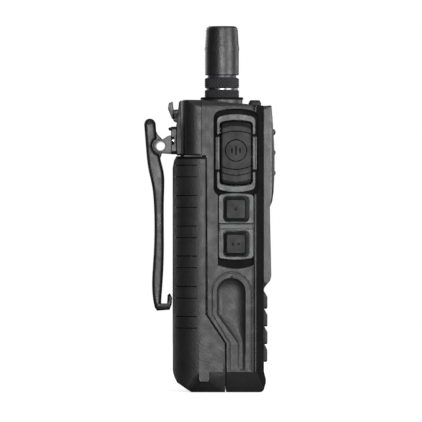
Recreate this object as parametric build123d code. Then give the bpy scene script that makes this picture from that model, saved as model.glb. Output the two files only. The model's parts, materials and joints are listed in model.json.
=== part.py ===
from build123d import *
import math
import os

# A hand-held two-way radio, in millimetres. +Z is up, the front faces -Y and the push-to-talk
# side faces -X. The origin is the middle of the face that the radio stands on.

# ---------------------------------------------------------------- body envelope
WIDTH = 60.0                       # across the flat sides, along X
HALF = WIDTH / 2
TOP_Z = 123.0                      # top of the body beside the rear edge
TOP_FRONT_Z = 120.5                # top of the body at the front edge
TOP_SLOPE = 0.085                  # fall of the top face towards the front, per mm of Y
FACE_Y = -17.7                     # front face that the keys stand out of
CHAMFER_Y = -14.4                  # where the flat side turns towards the front
SEAM_TOP_Y = 8.5                   # shell edge against the rear chassis
SEAM_MID_Y = 6.3                   # shell edge beside the battery
SEAM_LOW_Y = -1.7                  # shell edge beside the battery foot
STEP_TOP_Z = 32.7                  # upper end of the slanted seam
STEP_LOW_Z = 20.6                  # lower end of the slanted seam
SHOULDER_Z = 99.6                  # seam between the rear chassis and the battery
CAP_BACK_Y = 17.1                  # back of the rear chassis beside its plateau
PLATEAU_HALF = 14.0                # half width of the plateau that carries clip and latch
SIDE_WALL = 2.4
FRONT_WALL = 2.2
TAPER_Z = 8.6                      # the sides lean inwards below this height
TAPER_X = 3.0
SEAM = 0.2                         # gap between fixed casings
PLAY = 0.3                         # gap round a moving part

# ---------------------------------------------------------------- side controls (-X side)
SIDE_Y = -5.9                      # middle of the side controls
MOAT_DEPTH = 1.4                   # pocket that the side controls stand in
MOAT_FLOOR = -HALF + MOAT_DEPTH
PTT_Z = 100.5
PTT_WIDTH = 13.2
PTT_HEIGHT = 27.0
PTT_FACE = -31.3
PTT_RIM = 1.2                      # width of the raised frame beside the button
PTT_CAP = 2.7                      # height of the frame above and below the button
PANEL_Z = 69.7
PANEL_WIDTH = 14.8
PANEL_HEIGHT = 28.2
SIDE_KEYS_Z = (77.0, 62.4)         # middles of the upper and lower side button
SIDE_KEY = 10.2                    # side button base, square
SIDE_KEY_FACE = 8.2                # side button face, square
SWITCH_X = -25.1                   # tips of the tact switches

# ---------------------------------------------------------------- jack cover (+X side)
COVER_LOW_Z = 84.0
COVER_HINGE = (28.9, 110.9)        # X, Z of the hinge axis
COVER_WIDTH = 13.0
JACKS = ((101.5, 1.75), (90.5, 1.25))          # height and radius of each jack bore
JACK_DEPTH = 8.0
JACK_MOUTH_X = 27.4

# ---------------------------------------------------------------- top controls and antenna
ANTENNA_X = -14.0
FLANGE_RADIUS = 9.05
FLANGE_Z = (121.0, 121.8, 124.2)   # seat, top of the rim, top of the cone
BASE_RING_Z = (124.2, 127.2)
COLLAR_RADIUS = 7.35
COLLAR_Z = (128.1, 132.5)
NECK_RADIUS = 6.0
SHEATH_Z = (133.5, 154.2)
SHEATH_RADIUS = 7.15
STUD_RADIUS = 1.9
STUD_LOW_Z = 120.4
FIT = 0.05                         # radial clearance of a shaft in its hole
KNOB_X = 15.0
KNOB_RADIUS = 6.6
KNOB_Z = (123.4, 134.2)
SHAFT_RADIUS = 3.0
ALARM_Y = -14.0                    # top front button
ALARM_SIZE = (9.0, 4.8)

# ---------------------------------------------------------------- front controls
BEZEL_HALF = 26.8
SPEAKER_Z = 98.5
SPEAKER_RADIUS = 15.0
GRILLE_Z = 100.5
GRILLE = (38.0, 32.0)
GRILLE_RIBS_Z = (92.3, 100.9, 109.5)
MIC_X = -8.0
LCD_Z = 62.0
LCD = (39.0, 24.0)
KEY_SIZE = (14.0, 7.0)
KEY_PITCH = (14.6, 7.45)
KEY_LOW_Z = 12.6                   # bottom edge of the lowest row
KEY_BACK_Y = -15.9
KEY_FRONT_Y = -19.2
KEY_NAMES = (("key_star", "key_0", "key_hash"), ("key_7", "key_8", "key_9"),
             ("key_4", "key_5", "key_6"), ("key_1", "key_2", "key_3"))

# ---------------------------------------------------------------- battery
PACK_BACK_Y = 20.8
PACK_TOP_Z = 99.3
PACK_CORNER = 13.0                 # rounding of the rear corners in plan
PACK_SEAM = 1.0                    # rounding of the pack's edges along the seam
PACK_WALL = 1.8
LID = 3.0                          # thickness of the inner lid
GROOVES_Z = (93.0, 80.2, 67.4, 54.8, 42.0, 29.4)       # middles of the pairs of grip grooves
RAIL_X = 19.0
RAIL_Z = (62.0, 90.0)
CONTACTS_X = (-9.6, -3.2, 3.2, 9.6)
CASE_SCREWS = ((23.5, 47.0, 6.2), (19.0, 7.2, -1.8))   # X, Z and face Y, on both sides

# ---------------------------------------------------------------- belt clip and latch
HINGE = (26.0, 103.7)              # Y, Z of the clip hinge
BARREL_RADIUS = 3.0
PIN_RADIUS = 2.06
PIN_BORE = 1.8
CLIP_HALF = 9.5
PLATE_Y = (19.3, 21.5)
PLATE_HALF = 11.5
CLIP_SCREW = (6.6, 106.0)          # X, Z of the clip screws
LATCH = (19.6, 116.4)              # Y, Z of the latch pivot
LATCH_PIN_RADIUS = 0.75


# ---------------------------------------------------------------- helpers
def outline(*points):
    return make_face(Polyline(*points, close=True))


def slab_x(sketch, x0, x1):
    """Extrude a sketch drawn in (Y, Z) from x0 to x1."""
    return extrude(Plane.YZ.offset(x0) * sketch, x1 - x0)


def slab_y(sketch, y0, y1):
    """Extrude a sketch drawn in (X, Z) from y0 to y1."""
    return extrude(Plane.XZ.offset(-y0) * sketch, y1 - y0, dir=(0, 1, 0))


def slab_z(sketch, z0, z1):
    """Extrude a sketch drawn in (X, Y) from z0 to z1."""
    return extrude(Plane.XY.offset(z0) * sketch, z1 - z0)


def block(x, y, z):
    """Box between the two values of each pair."""
    size = [high - low for low, high in (x, y, z)]
    middle = [(high + low) / 2 for low, high in (x, y, z)]
    return Pos(*middle) * Box(*size)


def rod_x(radius, x0, x1, y, z):
    return slab_x(Pos(y, z) * Circle(radius), x0, x1)


def rod_y(radius, y0, y1, x, z):
    return slab_y(Pos(x, z) * Circle(radius), y0, y1)


def rod_z(radius, z0, z1, x, y):
    return slab_z(Pos(x, y) * Circle(radius), z0, z1)


def turned(x, profile):
    """Solid of revolution about a vertical axis through (x, 0), from (radius, height) points."""
    return Pos(x, 0, 0) * revolve(Plane.XZ * outline(*profile), Axis.Z)


def arched(width, height, rise, corner):
    """Upright outline whose top and bottom edges are shallow arcs."""
    w, h = width / 2, height / 2
    edges = [
        Line((-w, rise - h), (-w, h - rise)),
        ThreePointArc((-w, h - rise), (0, h), (w, h - rise)),
        Line((w, h - rise), (w, rise - h)),
        ThreePointArc((w, rise - h), (0, -h), (-w, rise - h)),
    ]
    face = make_face(edges)
    return fillet(face.vertices(), corner)


def both_sides(solid):
    """The solid and its mirror image across the middle plane."""
    return solid + mirror(solid, about=Plane.YZ)


def top_at(y):
    """Height of the sloping top face at a depth y."""
    return TOP_Z - 0.1 - TOP_SLOPE * (SEAM_TOP_Y - y)


# ---------------------------------------------------------------- casings
def front_outline(top, inset=0.0):
    """Front view of the body: rounded shoulders and sides that lean inwards at the foot."""
    half = HALF - inset
    face = outline((TAPER_X - half, 0), (-half, TAPER_Z), (-half, top),
                   (half, top), (half, TAPER_Z), (half - TAPER_X, 0))
    shoulders = [v for v in face.vertices() if v.Y > TAPER_Z + 1]
    return fillet(shoulders, 5.0 - inset)


def shell_block():
    side = outline(
        (SEAM_TOP_Y, top_at(SEAM_TOP_Y)), (FACE_Y, TOP_FRONT_Z), (FACE_Y, 8.7), (-18.5, 5.6),
        (-18.5, 3.8), (-17.6, 0.9), (-16.6, 0), (SEAM_LOW_Y, 0), (SEAM_LOW_Y, STEP_LOW_Z),
        (SEAM_MID_Y, STEP_TOP_Z), (SEAM_MID_Y, SHOULDER_Z), (SEAM_TOP_Y, SHOULDER_Z))
    plan = outline((-HALF, 20), (-HALF, CHAMFER_Y), (-26.6, -18.8), (26.6, -18.8),
                   (HALF, CHAMFER_Y), (HALF, 20))
    return (slab_x(side, -HALF, HALF) & slab_z(plan, -1, 130)
            & slab_y(front_outline(124.0), -30, 20))


def scoop(inset, foot_y, depth_x):
    """Outline of the thumb scoop low on the side: an arch over a foot that narrows forwards."""
    radius, arch_y, arch_z, foot_z = 6.1 - inset, -3.9, 42.1, 8.8
    front = arch_y - radius
    rear = arch_y + radius
    edges = [
        Line((front, foot_z), (front, arch_z)),
        ThreePointArc((front, arch_z), (arch_y, arch_z + radius), (rear, arch_z)),
        Line((rear, arch_z), (rear, STEP_TOP_Z)),
        Line((rear, STEP_TOP_Z), (foot_y, STEP_LOW_Z)),
        Line((foot_y, STEP_LOW_Z), (foot_y, foot_z)),
        Line((foot_y, foot_z), (front, foot_z)),
    ]
    return Plane.YZ.offset(depth_x) * make_face(edges)


def front_shell():
    shell = shell_block()
    inside = HALF - SIDE_WALL
    cavity = slab_y(front_outline(124.0, SIDE_WALL), FACE_Y + FRONT_WALL, 30)
    shell -= cavity & block((-HALF, HALF), (-20, 31), (2.4, 117.6))
    behind_scoop = outline((-11.6, 9.0), (-4.2, 9.0), (-4.2, 21.2), (2.6, 31.8), (2.6, 49.5),
                           (-11.6, 49.5))
    shell += slab_x(behind_scoop, -inside - 1, -25.2)
    shell += block((25.0, inside + 1), (-14.4, 2.4), (81.5, 115.5))
    for x, z, face in CASE_SCREWS:
        post = rod_y(2.2, FACE_Y + 1, face - 2.2, x, z) - rod_y(0.8, -8.0, face, x, z)
        shell += both_sides(post)

    # side controls: a pocket, and windows through its floor
    pocket = slab_x(Pos(SIDE_Y, PTT_Z) * arched(18.6, 36.8, 1.4, 3.0), -HALF - 1, MOAT_FLOOR)
    pocket += slab_x(Pos(SIDE_Y, PANEL_Z) * Rectangle(PANEL_WIDTH + SEAM, PANEL_HEIGHT + 4),
                     -HALF - 1, MOAT_FLOOR)
    pocket += slab_x(Pos(SIDE_Y, PANEL_Z - 12) * arched(PANEL_WIDTH + SEAM, 11.2, 1.6, 1.0),
                     -HALF - 1, MOAT_FLOOR)
    window = slab_x(Pos(SIDE_Y, PTT_Z) * arched(PTT_WIDTH + 2 * PLAY, PTT_HEIGHT + 2 * PLAY,
                                                1.0, 1.6), -HALF, -26)
    for z in SIDE_KEYS_Z:
        window += slab_x(Pos(SIDE_Y, z) * RectangleRounded(SIDE_KEY + 0.6, SIDE_KEY + 0.6, 1.8),
                         -HALF, -26)
    shell -= pocket + window

    # thumb scoop with sloping walls, and the thin line that runs round it
    shell -= loft([scoop(0.0, -6.6, -HALF - 0.01).face(), scoop(1.2, -7.8, -HALF + 2.0).face()])
    line = extrude(scoop(-2.3, -2.9, -HALF - 0.1), 0.5) - extrude(scoop(-1.9, -3.3, -HALF - 0.1), 0.5)
    shell -= line - block((-31, -29), (-20, 10), (0, 9.5))

    # jack cover pocket, hinge groove with pivot holes, and jack holes
    hx, hz = COVER_HINGE
    middle = SIDE_Y + 0.5
    half = COVER_WIDTH / 2 + PLAY
    shell -= block((28.0, 31), (middle - half, middle + half), (COVER_LOW_Z - PLAY, 113.6))
    shell -= slab_y(Pos(hx, hz) * Circle(1.4), middle - half, middle + half)
    shell -= rod_y(0.8 + FIT, middle - half - 1.2, middle + half + 1.2, hx, hz)
    for z, radius in JACKS:
        shell -= rod_x(radius + 2.0, 24, 29, middle, z)

    # top: antenna seat, volume bush, alarm button and status light
    shell -= rod_z(FLANGE_RADIUS + 0.1, FLANGE_Z[0], 130, ANTENNA_X, 0)
    shell -= rod_z(4.1, 115, 130, ANTENNA_X, 0)
    shell -= rod_z(4.3, 115, 130, KNOB_X, 0)
    shell -= slab_z(Pos(0, ALARM_Y) * RectangleRounded(9.6, 5.4, 1.6), 115, 130)
    shell -= rod_z(1.6, 115, 130, 12.0, -13.0)

    # front: speaker, display, keypad and microphone openings
    shell -= rod_y(SPEAKER_RADIUS + 0.4, -19, -14, 0, SPEAKER_Z)
    shell -= slab_y(Pos(0, LCD_Z) * Rectangle(LCD[0] + 1, LCD[1] + 1), -19, -14)
    rows = len(KEY_NAMES)
    shell -= block((-22.0, 22.0), (-19, -14), (KEY_LOW_Z - 0.4, KEY_LOW_Z + rows * KEY_PITCH[1]))
    shell -= rod_y(0.7, -19, -14, MIC_X, 6.0)
    return shell


def front_bezel():
    side = outline(
        (FACE_Y, 43.6), (-18.8, 45.2), (-20.3, 46.9), (-20.8, 49.0), (-20.3, 72.0), (-20.2, 77.9),
        (-21.1, 80.0), (-21.8, 84.3), (-22.2, 93.0), (-22.2, 99.7), (-21.9, 106.5),
        (-20.9, TOP_FRONT_Z), (FACE_Y, TOP_FRONT_Z))
    plan = outline((-BEZEL_HALF, -17), (-BEZEL_HALF, -17.7), (-25.6, -21.0), (-23.8, -22.4),
                   (23.8, -22.4), (25.6, -21.0), (BEZEL_HALF, -17.7), (BEZEL_HALF, -17))
    face = RectangleRounded(2 * BEZEL_HALF, 78.0, 4.0)
    bezel = (slab_x(side, -BEZEL_HALF, BEZEL_HALF) & slab_z(plan, 40, 125)
             & slab_y(Pos(0, 82.6) * face, -30, -10))
    bezel -= slab_y(Pos(0, GRILLE_Z) * RectangleRounded(*GRILLE, 6.0), -25, -10)
    bezel -= slab_y(Pos(0, LCD_Z) * RectangleRounded(*LCD, 1.5), -25, -10)
    return bezel


def speaker_grille():
    width, height = GRILLE[0] - 0.3, GRILLE[1] - 0.3
    plate = slab_y(Pos(0, GRILLE_Z) * RectangleRounded(width, height, 5.8), -21.4, -19.6)
    for step in range(-4, 5):
        z = GRILLE_Z + step * 2.867
        if min(abs(z - rib) for rib in GRILLE_RIBS_Z) > 1.0:
            plate -= slab_y(Pos(0, z) * SlotOverall(28.0, 1.3), -23, -18)
    for z in GRILLE_RIBS_Z:
        rib = Pos(0, -21.3, z) * Rot(0, 90, 0) * Cylinder(1.45, 24.0)
        rib += [Pos(x, -21.3, z) * Sphere(1.45) for x in (-12.0, 12.0)]
        plate += rib & block((-20, 20), (-25, -20.5), (z - 2, z + 2))
    return plate


def speaker():
    basket = rod_y(SPEAKER_RADIUS, -17.5, -15.0, 0, SPEAKER_Z)
    basket -= rod_y(SPEAKER_RADIUS - 1.8, -18, -15.8, 0, SPEAKER_Z)
    cone = rod_y(6.0, -17.0, -15.8, 0, SPEAKER_Z)
    magnet = rod_y(9.0, -15.0, -10.5, 0, SPEAKER_Z)
    return basket + cone + magnet


def lcd_window():
    return slab_y(Pos(0, LCD_Z) * RectangleRounded(LCD[0] - 0.2, LCD[1] - 0.2, 1.4), -20.2, -18.9)


def lcd_module():
    frame = block((-LCD[0] / 2, LCD[0] / 2), (-17.6, -14.6), (LCD_Z - 11.8, LCD_Z + 11.8))
    return frame - block((-17.6, 17.6), (-19, -17.2), (LCD_Z - 9.4, LCD_Z + 9.4))


def key(row, column):
    width, height = KEY_SIZE
    low = KEY_LOW_Z + row * KEY_PITCH[1]
    profile = outline((KEY_BACK_Y, low), (KEY_FRONT_Y + 0.3, low), (KEY_FRONT_Y, low + 0.4),
                      (KEY_FRONT_Y, low + 5.0), (KEY_FRONT_Y + 1.1, low + height),
                      (KEY_BACK_Y, low + height))
    middle = (column - 1) * KEY_PITCH[0]
    body = slab_x(profile, middle - width / 2, middle + width / 2)
    front = RectangleRounded(width, height, 0.9)
    return body & slab_y(Pos(middle, low + height / 2) * front, -25, -10)


def keypad_membrane():
    sheet = block((-24.0, 24.0), (-14.9, -14.0), (10.0, 44.8))
    for row in range(len(KEY_NAMES)):
        for column in range(len(KEY_NAMES[row])):
            z = KEY_LOW_Z + row * KEY_PITCH[1] + KEY_SIZE[1] / 2
            sheet += rod_y(2.4, -15.2, -14.9, (column - 1) * KEY_PITCH[0], z)
    return sheet


def main_board():
    """Circuit board with its larger chips, a shield can and the bracket of the alarm switch."""
    board = block((-20.5, 18.5), (-7.4, -5.8), (10.0, 115.0))
    for x, z, width, height in ((-8, 30, 14, 14), (8, 56, 12, 18), (-8, 76, 16, 12)):
        board += slab_y(Pos(x, z) * Rectangle(width, height), -5.8, -3.9)
    board += block((-3.0, 3.0), (ALARM_Y - 1.3, -7.2), (114.2, 115.0))
    return board + rod_z(1.2, 115.0, 115.6, 0, ALARM_Y)


def microphone():
    return rod_y(3.0, -15.4, -12.6, MIC_X, 6.0)


def rear_plan(half, back_y, corner):
    """Plan of the casing's back, with rounded rear corners."""
    plan = outline((-half, 0), (-half, back_y), (half, back_y), (half, 0))
    return fillet([v for v in plan.vertices() if v.Y > 1], corner)


def rear_chassis():
    """Die-cast back: a plate behind the battery, and a block that carries the belt clip."""
    y0, y1, y2 = SEAM_MID_Y - 0.1, SEAM_LOW_Y - 0.1, 2.0
    plate = outline((y0, 101), (y0, STEP_TOP_Z), (y1, STEP_LOW_Z), (y1, 2.6), (y1 - y2, 2.6),
                    (y1 - y2, STEP_LOW_Z + 0.6), (y0 - y2, STEP_TOP_Z + 0.6), (y0 - y2, 101))
    edge = front_outline(124.0, SIDE_WALL + SEAM)
    chassis = slab_x(plate, -HALF, HALF) & slab_y(edge, -10, 30)
    chassis -= block((-12.4, 12.4), (3, 7), (43.8, 54.2))
    for x, z, face in CASE_SCREWS:
        chassis -= both_sides(rod_y(1.1, face - 3, face + 1, x, z) + rod_y(2.0, face - 1.2, face + 1, x, z))

    front, low = SEAM_TOP_Y + SEAM, SHOULDER_Z + SEAM
    side = outline((front, low), (front, TOP_Z - 0.1), (16.6, TOP_Z), (CAP_BACK_Y, 122.5),
                   (CAP_BACK_Y, low))
    cap = slab_x(side, -HALF, HALF) & slab_z(rear_plan(HALF, CAP_BACK_Y, 7.5), 90, 130)
    plateau = outline((15.0, low), (15.0, 122.8), (17.7, 122.8), (18.2, 122.0), (19.0, 113.6),
                      (PLATE_Y[0], 112.6), (PLATE_Y[0], low))
    cap = (cap + slab_x(plateau, -PLATEAU_HALF, PLATEAU_HALF)) & slab_y(front_outline(124.0), -30, 30)
    cap -= slab_z(rear_plan(27.2, 14.9, 5.5), SHOULDER_Z + 2.4, 120.6)
    cap += block((-12.5, 12.5), (13.8, 17.0), (SHOULDER_Z + 1, 121.0))
    cap += block((-27.2, 27.2), (y0 - y2, front + 1), (SHOULDER_Z + 0.4, SHOULDER_Z + 2.4))
    chassis += cap

    chassis -= rod_z(FLANGE_RADIUS + 0.1, FLANGE_Z[0], 130, ANTENNA_X, 0)

    # ears and channel of the battery latch
    ly, lz = LATCH
    ear = outline((18.4, 113.4), (20.6, 114.4), (21.0, 117.4), (20.2, 119.1), (18.4, 119.2))
    chassis += both_sides(slab_x(ear, 8.1, 10.2))
    chassis -= block((-8.05, 8.05), (15.2, 22), (112.9, 119.8))
    chassis -= block((-4.7, 4.7), (15.2, 20), (90, 113.5))
    chassis -= rod_x(LATCH_PIN_RADIUS, -11, 11, ly, lz)
    chassis -= both_sides(rod_y(0.95, 14.5, 20, CLIP_SCREW[0], CLIP_SCREW[1]))

    # T-shaped rails that the battery slides on
    low, high = RAIL_Z
    rail = block((RAIL_X - 1.2, RAIL_X + 1.2), (y0 - 0.5, 8.0), (low, high))
    rail += block((RAIL_X - 2.5, RAIL_X + 2.5), (7.8, 8.9), (low, high))
    chassis += both_sides(rail)
    return chassis


def chassis_screws():
    """Four screws that pull the chassis plate against the posts of the shell."""
    screws = []
    for x, z, face in CASE_SCREWS:
        for side in (-x, x):
            screw = rod_y(1.9, face - 1.2, face - 0.1, side, z)
            screw += rod_y(0.8, -7.5, face - 1.2, side, z)
            screw -= block((side - 1.3, side + 1.3), (face - 0.5, face + 1), (z - 0.25, z + 0.25))
            screws.append(screw.solid())
    return Compound(children=screws)


# ---------------------------------------------------------------- side controls
def ptt_frame():
    """Raised frame in two caps and two rails, on one base ring."""
    width = PTT_WIDTH + 2 * (PLAY + PTT_RIM)
    height = PTT_HEIGHT + 2 * (PLAY + PTT_CAP)
    hole = Pos(SIDE_Y, PTT_Z) * arched(PTT_WIDTH + 2 * PLAY, PTT_HEIGHT + 2 * PLAY, 1.0, 1.6)
    ring = slab_x(Pos(SIDE_Y, PTT_Z) * arched(width, height, 1.4, 2.2), -30.9, MOAT_FLOOR)
    rails = slab_x(Pos(SIDE_Y, PTT_Z) * Rectangle(width + 1.2, 14.0), -30.7, MOAT_FLOOR)
    for z in (PTT_Z - 7.4, PTT_Z + 7.4):
        ring -= slab_x(Pos(SIDE_Y, z) * Rectangle(width + 2, 0.8), -32, -30.0)
    return ring + rails - slab_x(hole, -33, -27)


def ptt_button():
    face = arched(PTT_WIDTH, PTT_HEIGHT, 1.0, 1.3)
    body = slab_x(Pos(SIDE_Y, PTT_Z) * face, PTT_FACE, -28.8)
    crown = Pos(PTT_FACE + 60.0, SIDE_Y, PTT_Z) * Rot(90, 0, 0) * Cylinder(60.0, 30.0)
    body &= crown
    ring = rod_x(4.6, -33, -31.0, SIDE_Y, PTT_Z + 1.1) - rod_x(4.2, -33, -31.0, SIDE_Y, PTT_Z + 1.1)
    body -= ring
    for z in (PTT_Z - 7.2, PTT_Z - 9.4, PTT_Z + 8.6):
        arc = Pos(SIDE_Y, z) * Rectangle(PTT_WIDTH, 0.4)
        body -= slab_x(arc, -33, -31.0)
    plungers = [rod_x(1.5, -28.8, -26.4, SIDE_Y, PTT_Z + dz) for dz in (-7.0, 7.0)]
    return body + plungers


def side_button_panel():
    plate = slab_x(Pos(SIDE_Y, PANEL_Z) * arched(PANEL_WIDTH, PANEL_HEIGHT, 0.8, 1.4),
                   -30.3, MOAT_FLOOR)
    bar_z = sum(SIDE_KEYS_Z) / 2
    plate += slab_x(Pos(SIDE_Y, bar_z) * Rectangle(PANEL_WIDTH - 0.6, 2.4), -30.8, MOAT_FLOOR)
    for z in SIDE_KEYS_Z:
        side = SIDE_KEY + 2 * PLAY
        plate -= slab_x(Pos(SIDE_Y, z) * RectangleRounded(side, side, 1.8), -33, -27)
    return plate


def side_button(z):
    base = slab_x(Pos(SIDE_Y, z) * RectangleRounded(SIDE_KEY, SIDE_KEY, 1.5), -29.9, -28.9)
    low = Plane.YZ.offset(-29.9) * Pos(SIDE_Y, z) * RectangleRounded(SIDE_KEY, SIDE_KEY, 1.5)
    high = Plane.YZ.offset(-30.9) * Pos(SIDE_Y, z) * RectangleRounded(SIDE_KEY_FACE, SIDE_KEY_FACE, 1.2)
    return base + loft([high.face(), low.face()]) + rod_x(1.5, -28.9, -26.2, SIDE_Y, z)


def side_switches():
    """Board behind the side controls with a tact switch under each plunger."""
    board = block((-24.0, -22.9), (SIDE_Y - 5.5, SIDE_Y + 5.5), (56.0, 113.0))
    for z in (PTT_Z - 7.0, PTT_Z + 7.0) + SIDE_KEYS_Z:
        board += block((-24.8, -24.0), (SIDE_Y - 2.2, SIDE_Y + 2.2), (z - 2.2, z + 2.2))
        board += rod_x(1.2, SWITCH_X, -24.8, SIDE_Y, z)
    return board


# ---------------------------------------------------------------- jack side
def jack_cover():
    hx, hz = COVER_HINGE
    middle, half = SIDE_Y + 0.5, COVER_WIDTH / 2
    flap = block((28.25, 30.3), (middle - half, middle + half), (COVER_LOW_Z, hz))
    flap += rod_y(1.0, middle - half, middle + half, hx, hz)
    flap -= block((hx + 1.1, 31), (middle - half - 1, middle + half + 1), (hz - 1.2, hz + 2))
    flap -= block((29.6, 31), (middle - 3.5, middle + 3.5), (COVER_LOW_Z - 1, COVER_LOW_Z + 1.6))
    for z, radius in JACKS:
        flap += rod_x(radius - PLAY, JACK_MOUTH_X + 0.2, 28.25, middle, z)
    pivots = rod_y(0.8, middle - half - 1.0, middle + half + 1.0, hx, hz)
    return flap + pivots


def jack_block():
    middle = SIDE_Y + 0.5
    body = block((JACK_MOUTH_X - 8.2, JACK_MOUTH_X - 2.6), (middle - 4.4, middle + 5.2), (86.0, 106.5))
    for z, radius in JACKS:
        body += rod_x(radius + 1.6, JACK_MOUTH_X - 3.0, JACK_MOUTH_X, middle, z)
        body -= rod_x(radius, JACK_MOUTH_X - JACK_DEPTH, JACK_MOUTH_X + 1, middle, z)
    return body


# ---------------------------------------------------------------- top controls
def alarm_base():
    z = top_at(ALARM_Y)
    ring = slab_z(Pos(0, ALARM_Y) * RectangleRounded(9.5, 5.3, 1.5), 117.8, z + 0.3)
    hole = RectangleRounded(ALARM_SIZE[0] - 1.0, ALARM_SIZE[1] - 1.0, 1.2)
    return ring - slab_z(Pos(0, ALARM_Y) * hole, 110, 130)


def alarm_button():
    z = top_at(ALARM_Y)
    stem = RectangleRounded(ALARM_SIZE[0] - 1.6, ALARM_SIZE[1] - 1.6, 0.9)
    button = slab_z(Pos(0, ALARM_Y) * stem, 116.6, z + 1.9)
    cap = slab_z(Pos(0, ALARM_Y) * RectangleRounded(*ALARM_SIZE, 1.2), z + 1.2, z + 2.2)
    return button + chamfer(cap.edges().group_by(Axis.Z)[-1], 0.5)


def status_lens():
    return rod_z(1.5, 116.5, top_at(-13.0) + 0.2, 12.0, -13.0)


def volume_encoder():
    body = block((KNOB_X - 6, KNOB_X + 6), (-5.4, 6.0), (108.6, 115.6))
    body += rod_z(4.0, 115.6, 125.0, KNOB_X, 0)
    return body - rod_z(SHAFT_RADIUS + FIT, 110, 130, KNOB_X, 0)


def volume_shaft():
    return rod_z(SHAFT_RADIUS, 110.5, 131.0, KNOB_X, 0)


def volume_knob():
    low, high = KNOB_Z
    knob = turned(KNOB_X, ((0, low), (KNOB_RADIUS, low), (KNOB_RADIUS, low + 2.0),
                           (KNOB_RADIUS - 0.7, low + 3.0), (KNOB_RADIUS - 1.0, high - 0.8),
                           (KNOB_RADIUS - 1.8, high), (0, high)))
    knob -= rod_z(4.4, low - 1, 125.6, KNOB_X, 0)
    return knob - rod_z(SHAFT_RADIUS, low, 131.0, KNOB_X, 0)


# ---------------------------------------------------------------- antenna
def antenna_flange():
    seat, rim, top = FLANGE_Z
    cone = turned(ANTENNA_X, ((3.4, seat), (FLANGE_RADIUS - 0.4, seat), (FLANGE_RADIUS, rim),
                              (FLANGE_RADIUS, rim + 0.7), (8.3, top), (3.4, top)))
    return cone


def antenna_socket():
    low, high = 112.0, BASE_RING_Z[1] - 0.4
    tube = turned(ANTENNA_X, ((0, low), (5.2, low), (5.2, 117.0), (3.4, 117.0), (3.4, high), (0, high)))
    return tube - rod_z(STUD_RADIUS + FIT, STUD_LOW_Z - 0.5, high + 1, ANTENNA_X, 0)


def antenna_base_ring():
    low, high = BASE_RING_Z
    return turned(ANTENNA_X, ((3.4, low), (8.1, low), (COLLAR_RADIUS, low + 1.4),
                              (COLLAR_RADIUS, high), (3.4, high)))


def antenna_seal():
    """Rubber ring that stays on the antenna stud."""
    low = BASE_RING_Z[1] - 0.4
    ring = rod_z(3.2, low, COLLAR_Z[0] - 0.6, ANTENNA_X, 0)
    return ring - rod_z(STUD_RADIUS + FIT, 110, 140, ANTENNA_X, 0)


def antenna_contact_ring():
    low = BASE_RING_Z[1] + 0.1
    ring = rod_z(6.7, low, COLLAR_Z[0], ANTENNA_X, 0)
    return ring - rod_z(3.5, low - 1, COLLAR_Z[0] + 1, ANTENNA_X, 0)


def antenna_collar():
    low, high = COLLAR_Z
    return turned(ANTENNA_X, ((STUD_RADIUS, low), (COLLAR_RADIUS, low), (COLLAR_RADIUS, high - 0.9),
                              (NECK_RADIUS + 0.4, high), (NECK_RADIUS, high),
                              (NECK_RADIUS, SHEATH_Z[0]), (STUD_RADIUS, SHEATH_Z[0])))


def antenna_core():
    """Threaded stud at the foot and the helical radiator's former above it."""
    stud = rod_z(STUD_RADIUS, STUD_LOW_Z, SHEATH_Z[0], ANTENNA_X, 0)
    return stud + rod_z(3.0, SHEATH_Z[0], 149.0, ANTENNA_X, 0)


def antenna_sheath():
    low, high = SHEATH_Z
    sheath = turned(ANTENNA_X, ((3.0, low), (SHEATH_RADIUS, low), (SHEATH_RADIUS, 143.6),
                                (SHEATH_RADIUS + 0.2, 144.4), (SHEATH_RADIUS - 0.1, 146.4),
                                (6.75, 152.0), (6.6, high - 0.4), (6.2, high), (0, high),
                                (0, 149.0), (3.0, 149.0)))
    return sheath


# ---------------------------------------------------------------- battery
def battery_block():
    side = outline(
        (SEAM_MID_Y + PLAY, PACK_TOP_Z), (19.2, PACK_TOP_Z), (20.2, 97.4), (PACK_BACK_Y, 94.2),
        (PACK_BACK_Y, 9.0), (20.2, 6.6), (18.9, 4.0), (16.4, 2.3), (12.9, 0), (-1.1, 0),
        (SEAM_LOW_Y + PLAY, 0.4), (SEAM_LOW_Y + PLAY, STEP_LOW_Z), (SEAM_MID_Y + PLAY, STEP_TOP_Z))
    plan = outline((-HALF, -5), (-HALF, PACK_BACK_Y), (HALF, PACK_BACK_Y), (HALF, -5))
    plan = fillet([v for v in plan.vertices() if v.Y > 0], PACK_CORNER)
    pack = (slab_x(side, -HALF, HALF) & slab_z(plan, -1, 130)
            & slab_y(front_outline(130.0), -30, 30))
    seam = [e for e in pack.edges() if abs(e.center().X) > HALF - 0.01 and e.center().Y < 7
            and TAPER_Z < e.center().Z < PACK_TOP_Z - 1]
    return fillet(seam, PACK_SEAM)


def rail_slots():
    """Space of the chassis rails, open at the top of the battery."""
    low = RAIL_Z[0] - PLAY
    slot = block((RAIL_X - 1.55, RAIL_X + 1.55), (5, 8.0), (low, 100))
    slot += block((RAIL_X - 2.85, RAIL_X + 2.85), (7.5, 9.2), (low, 100))
    return both_sides(slot)


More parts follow.
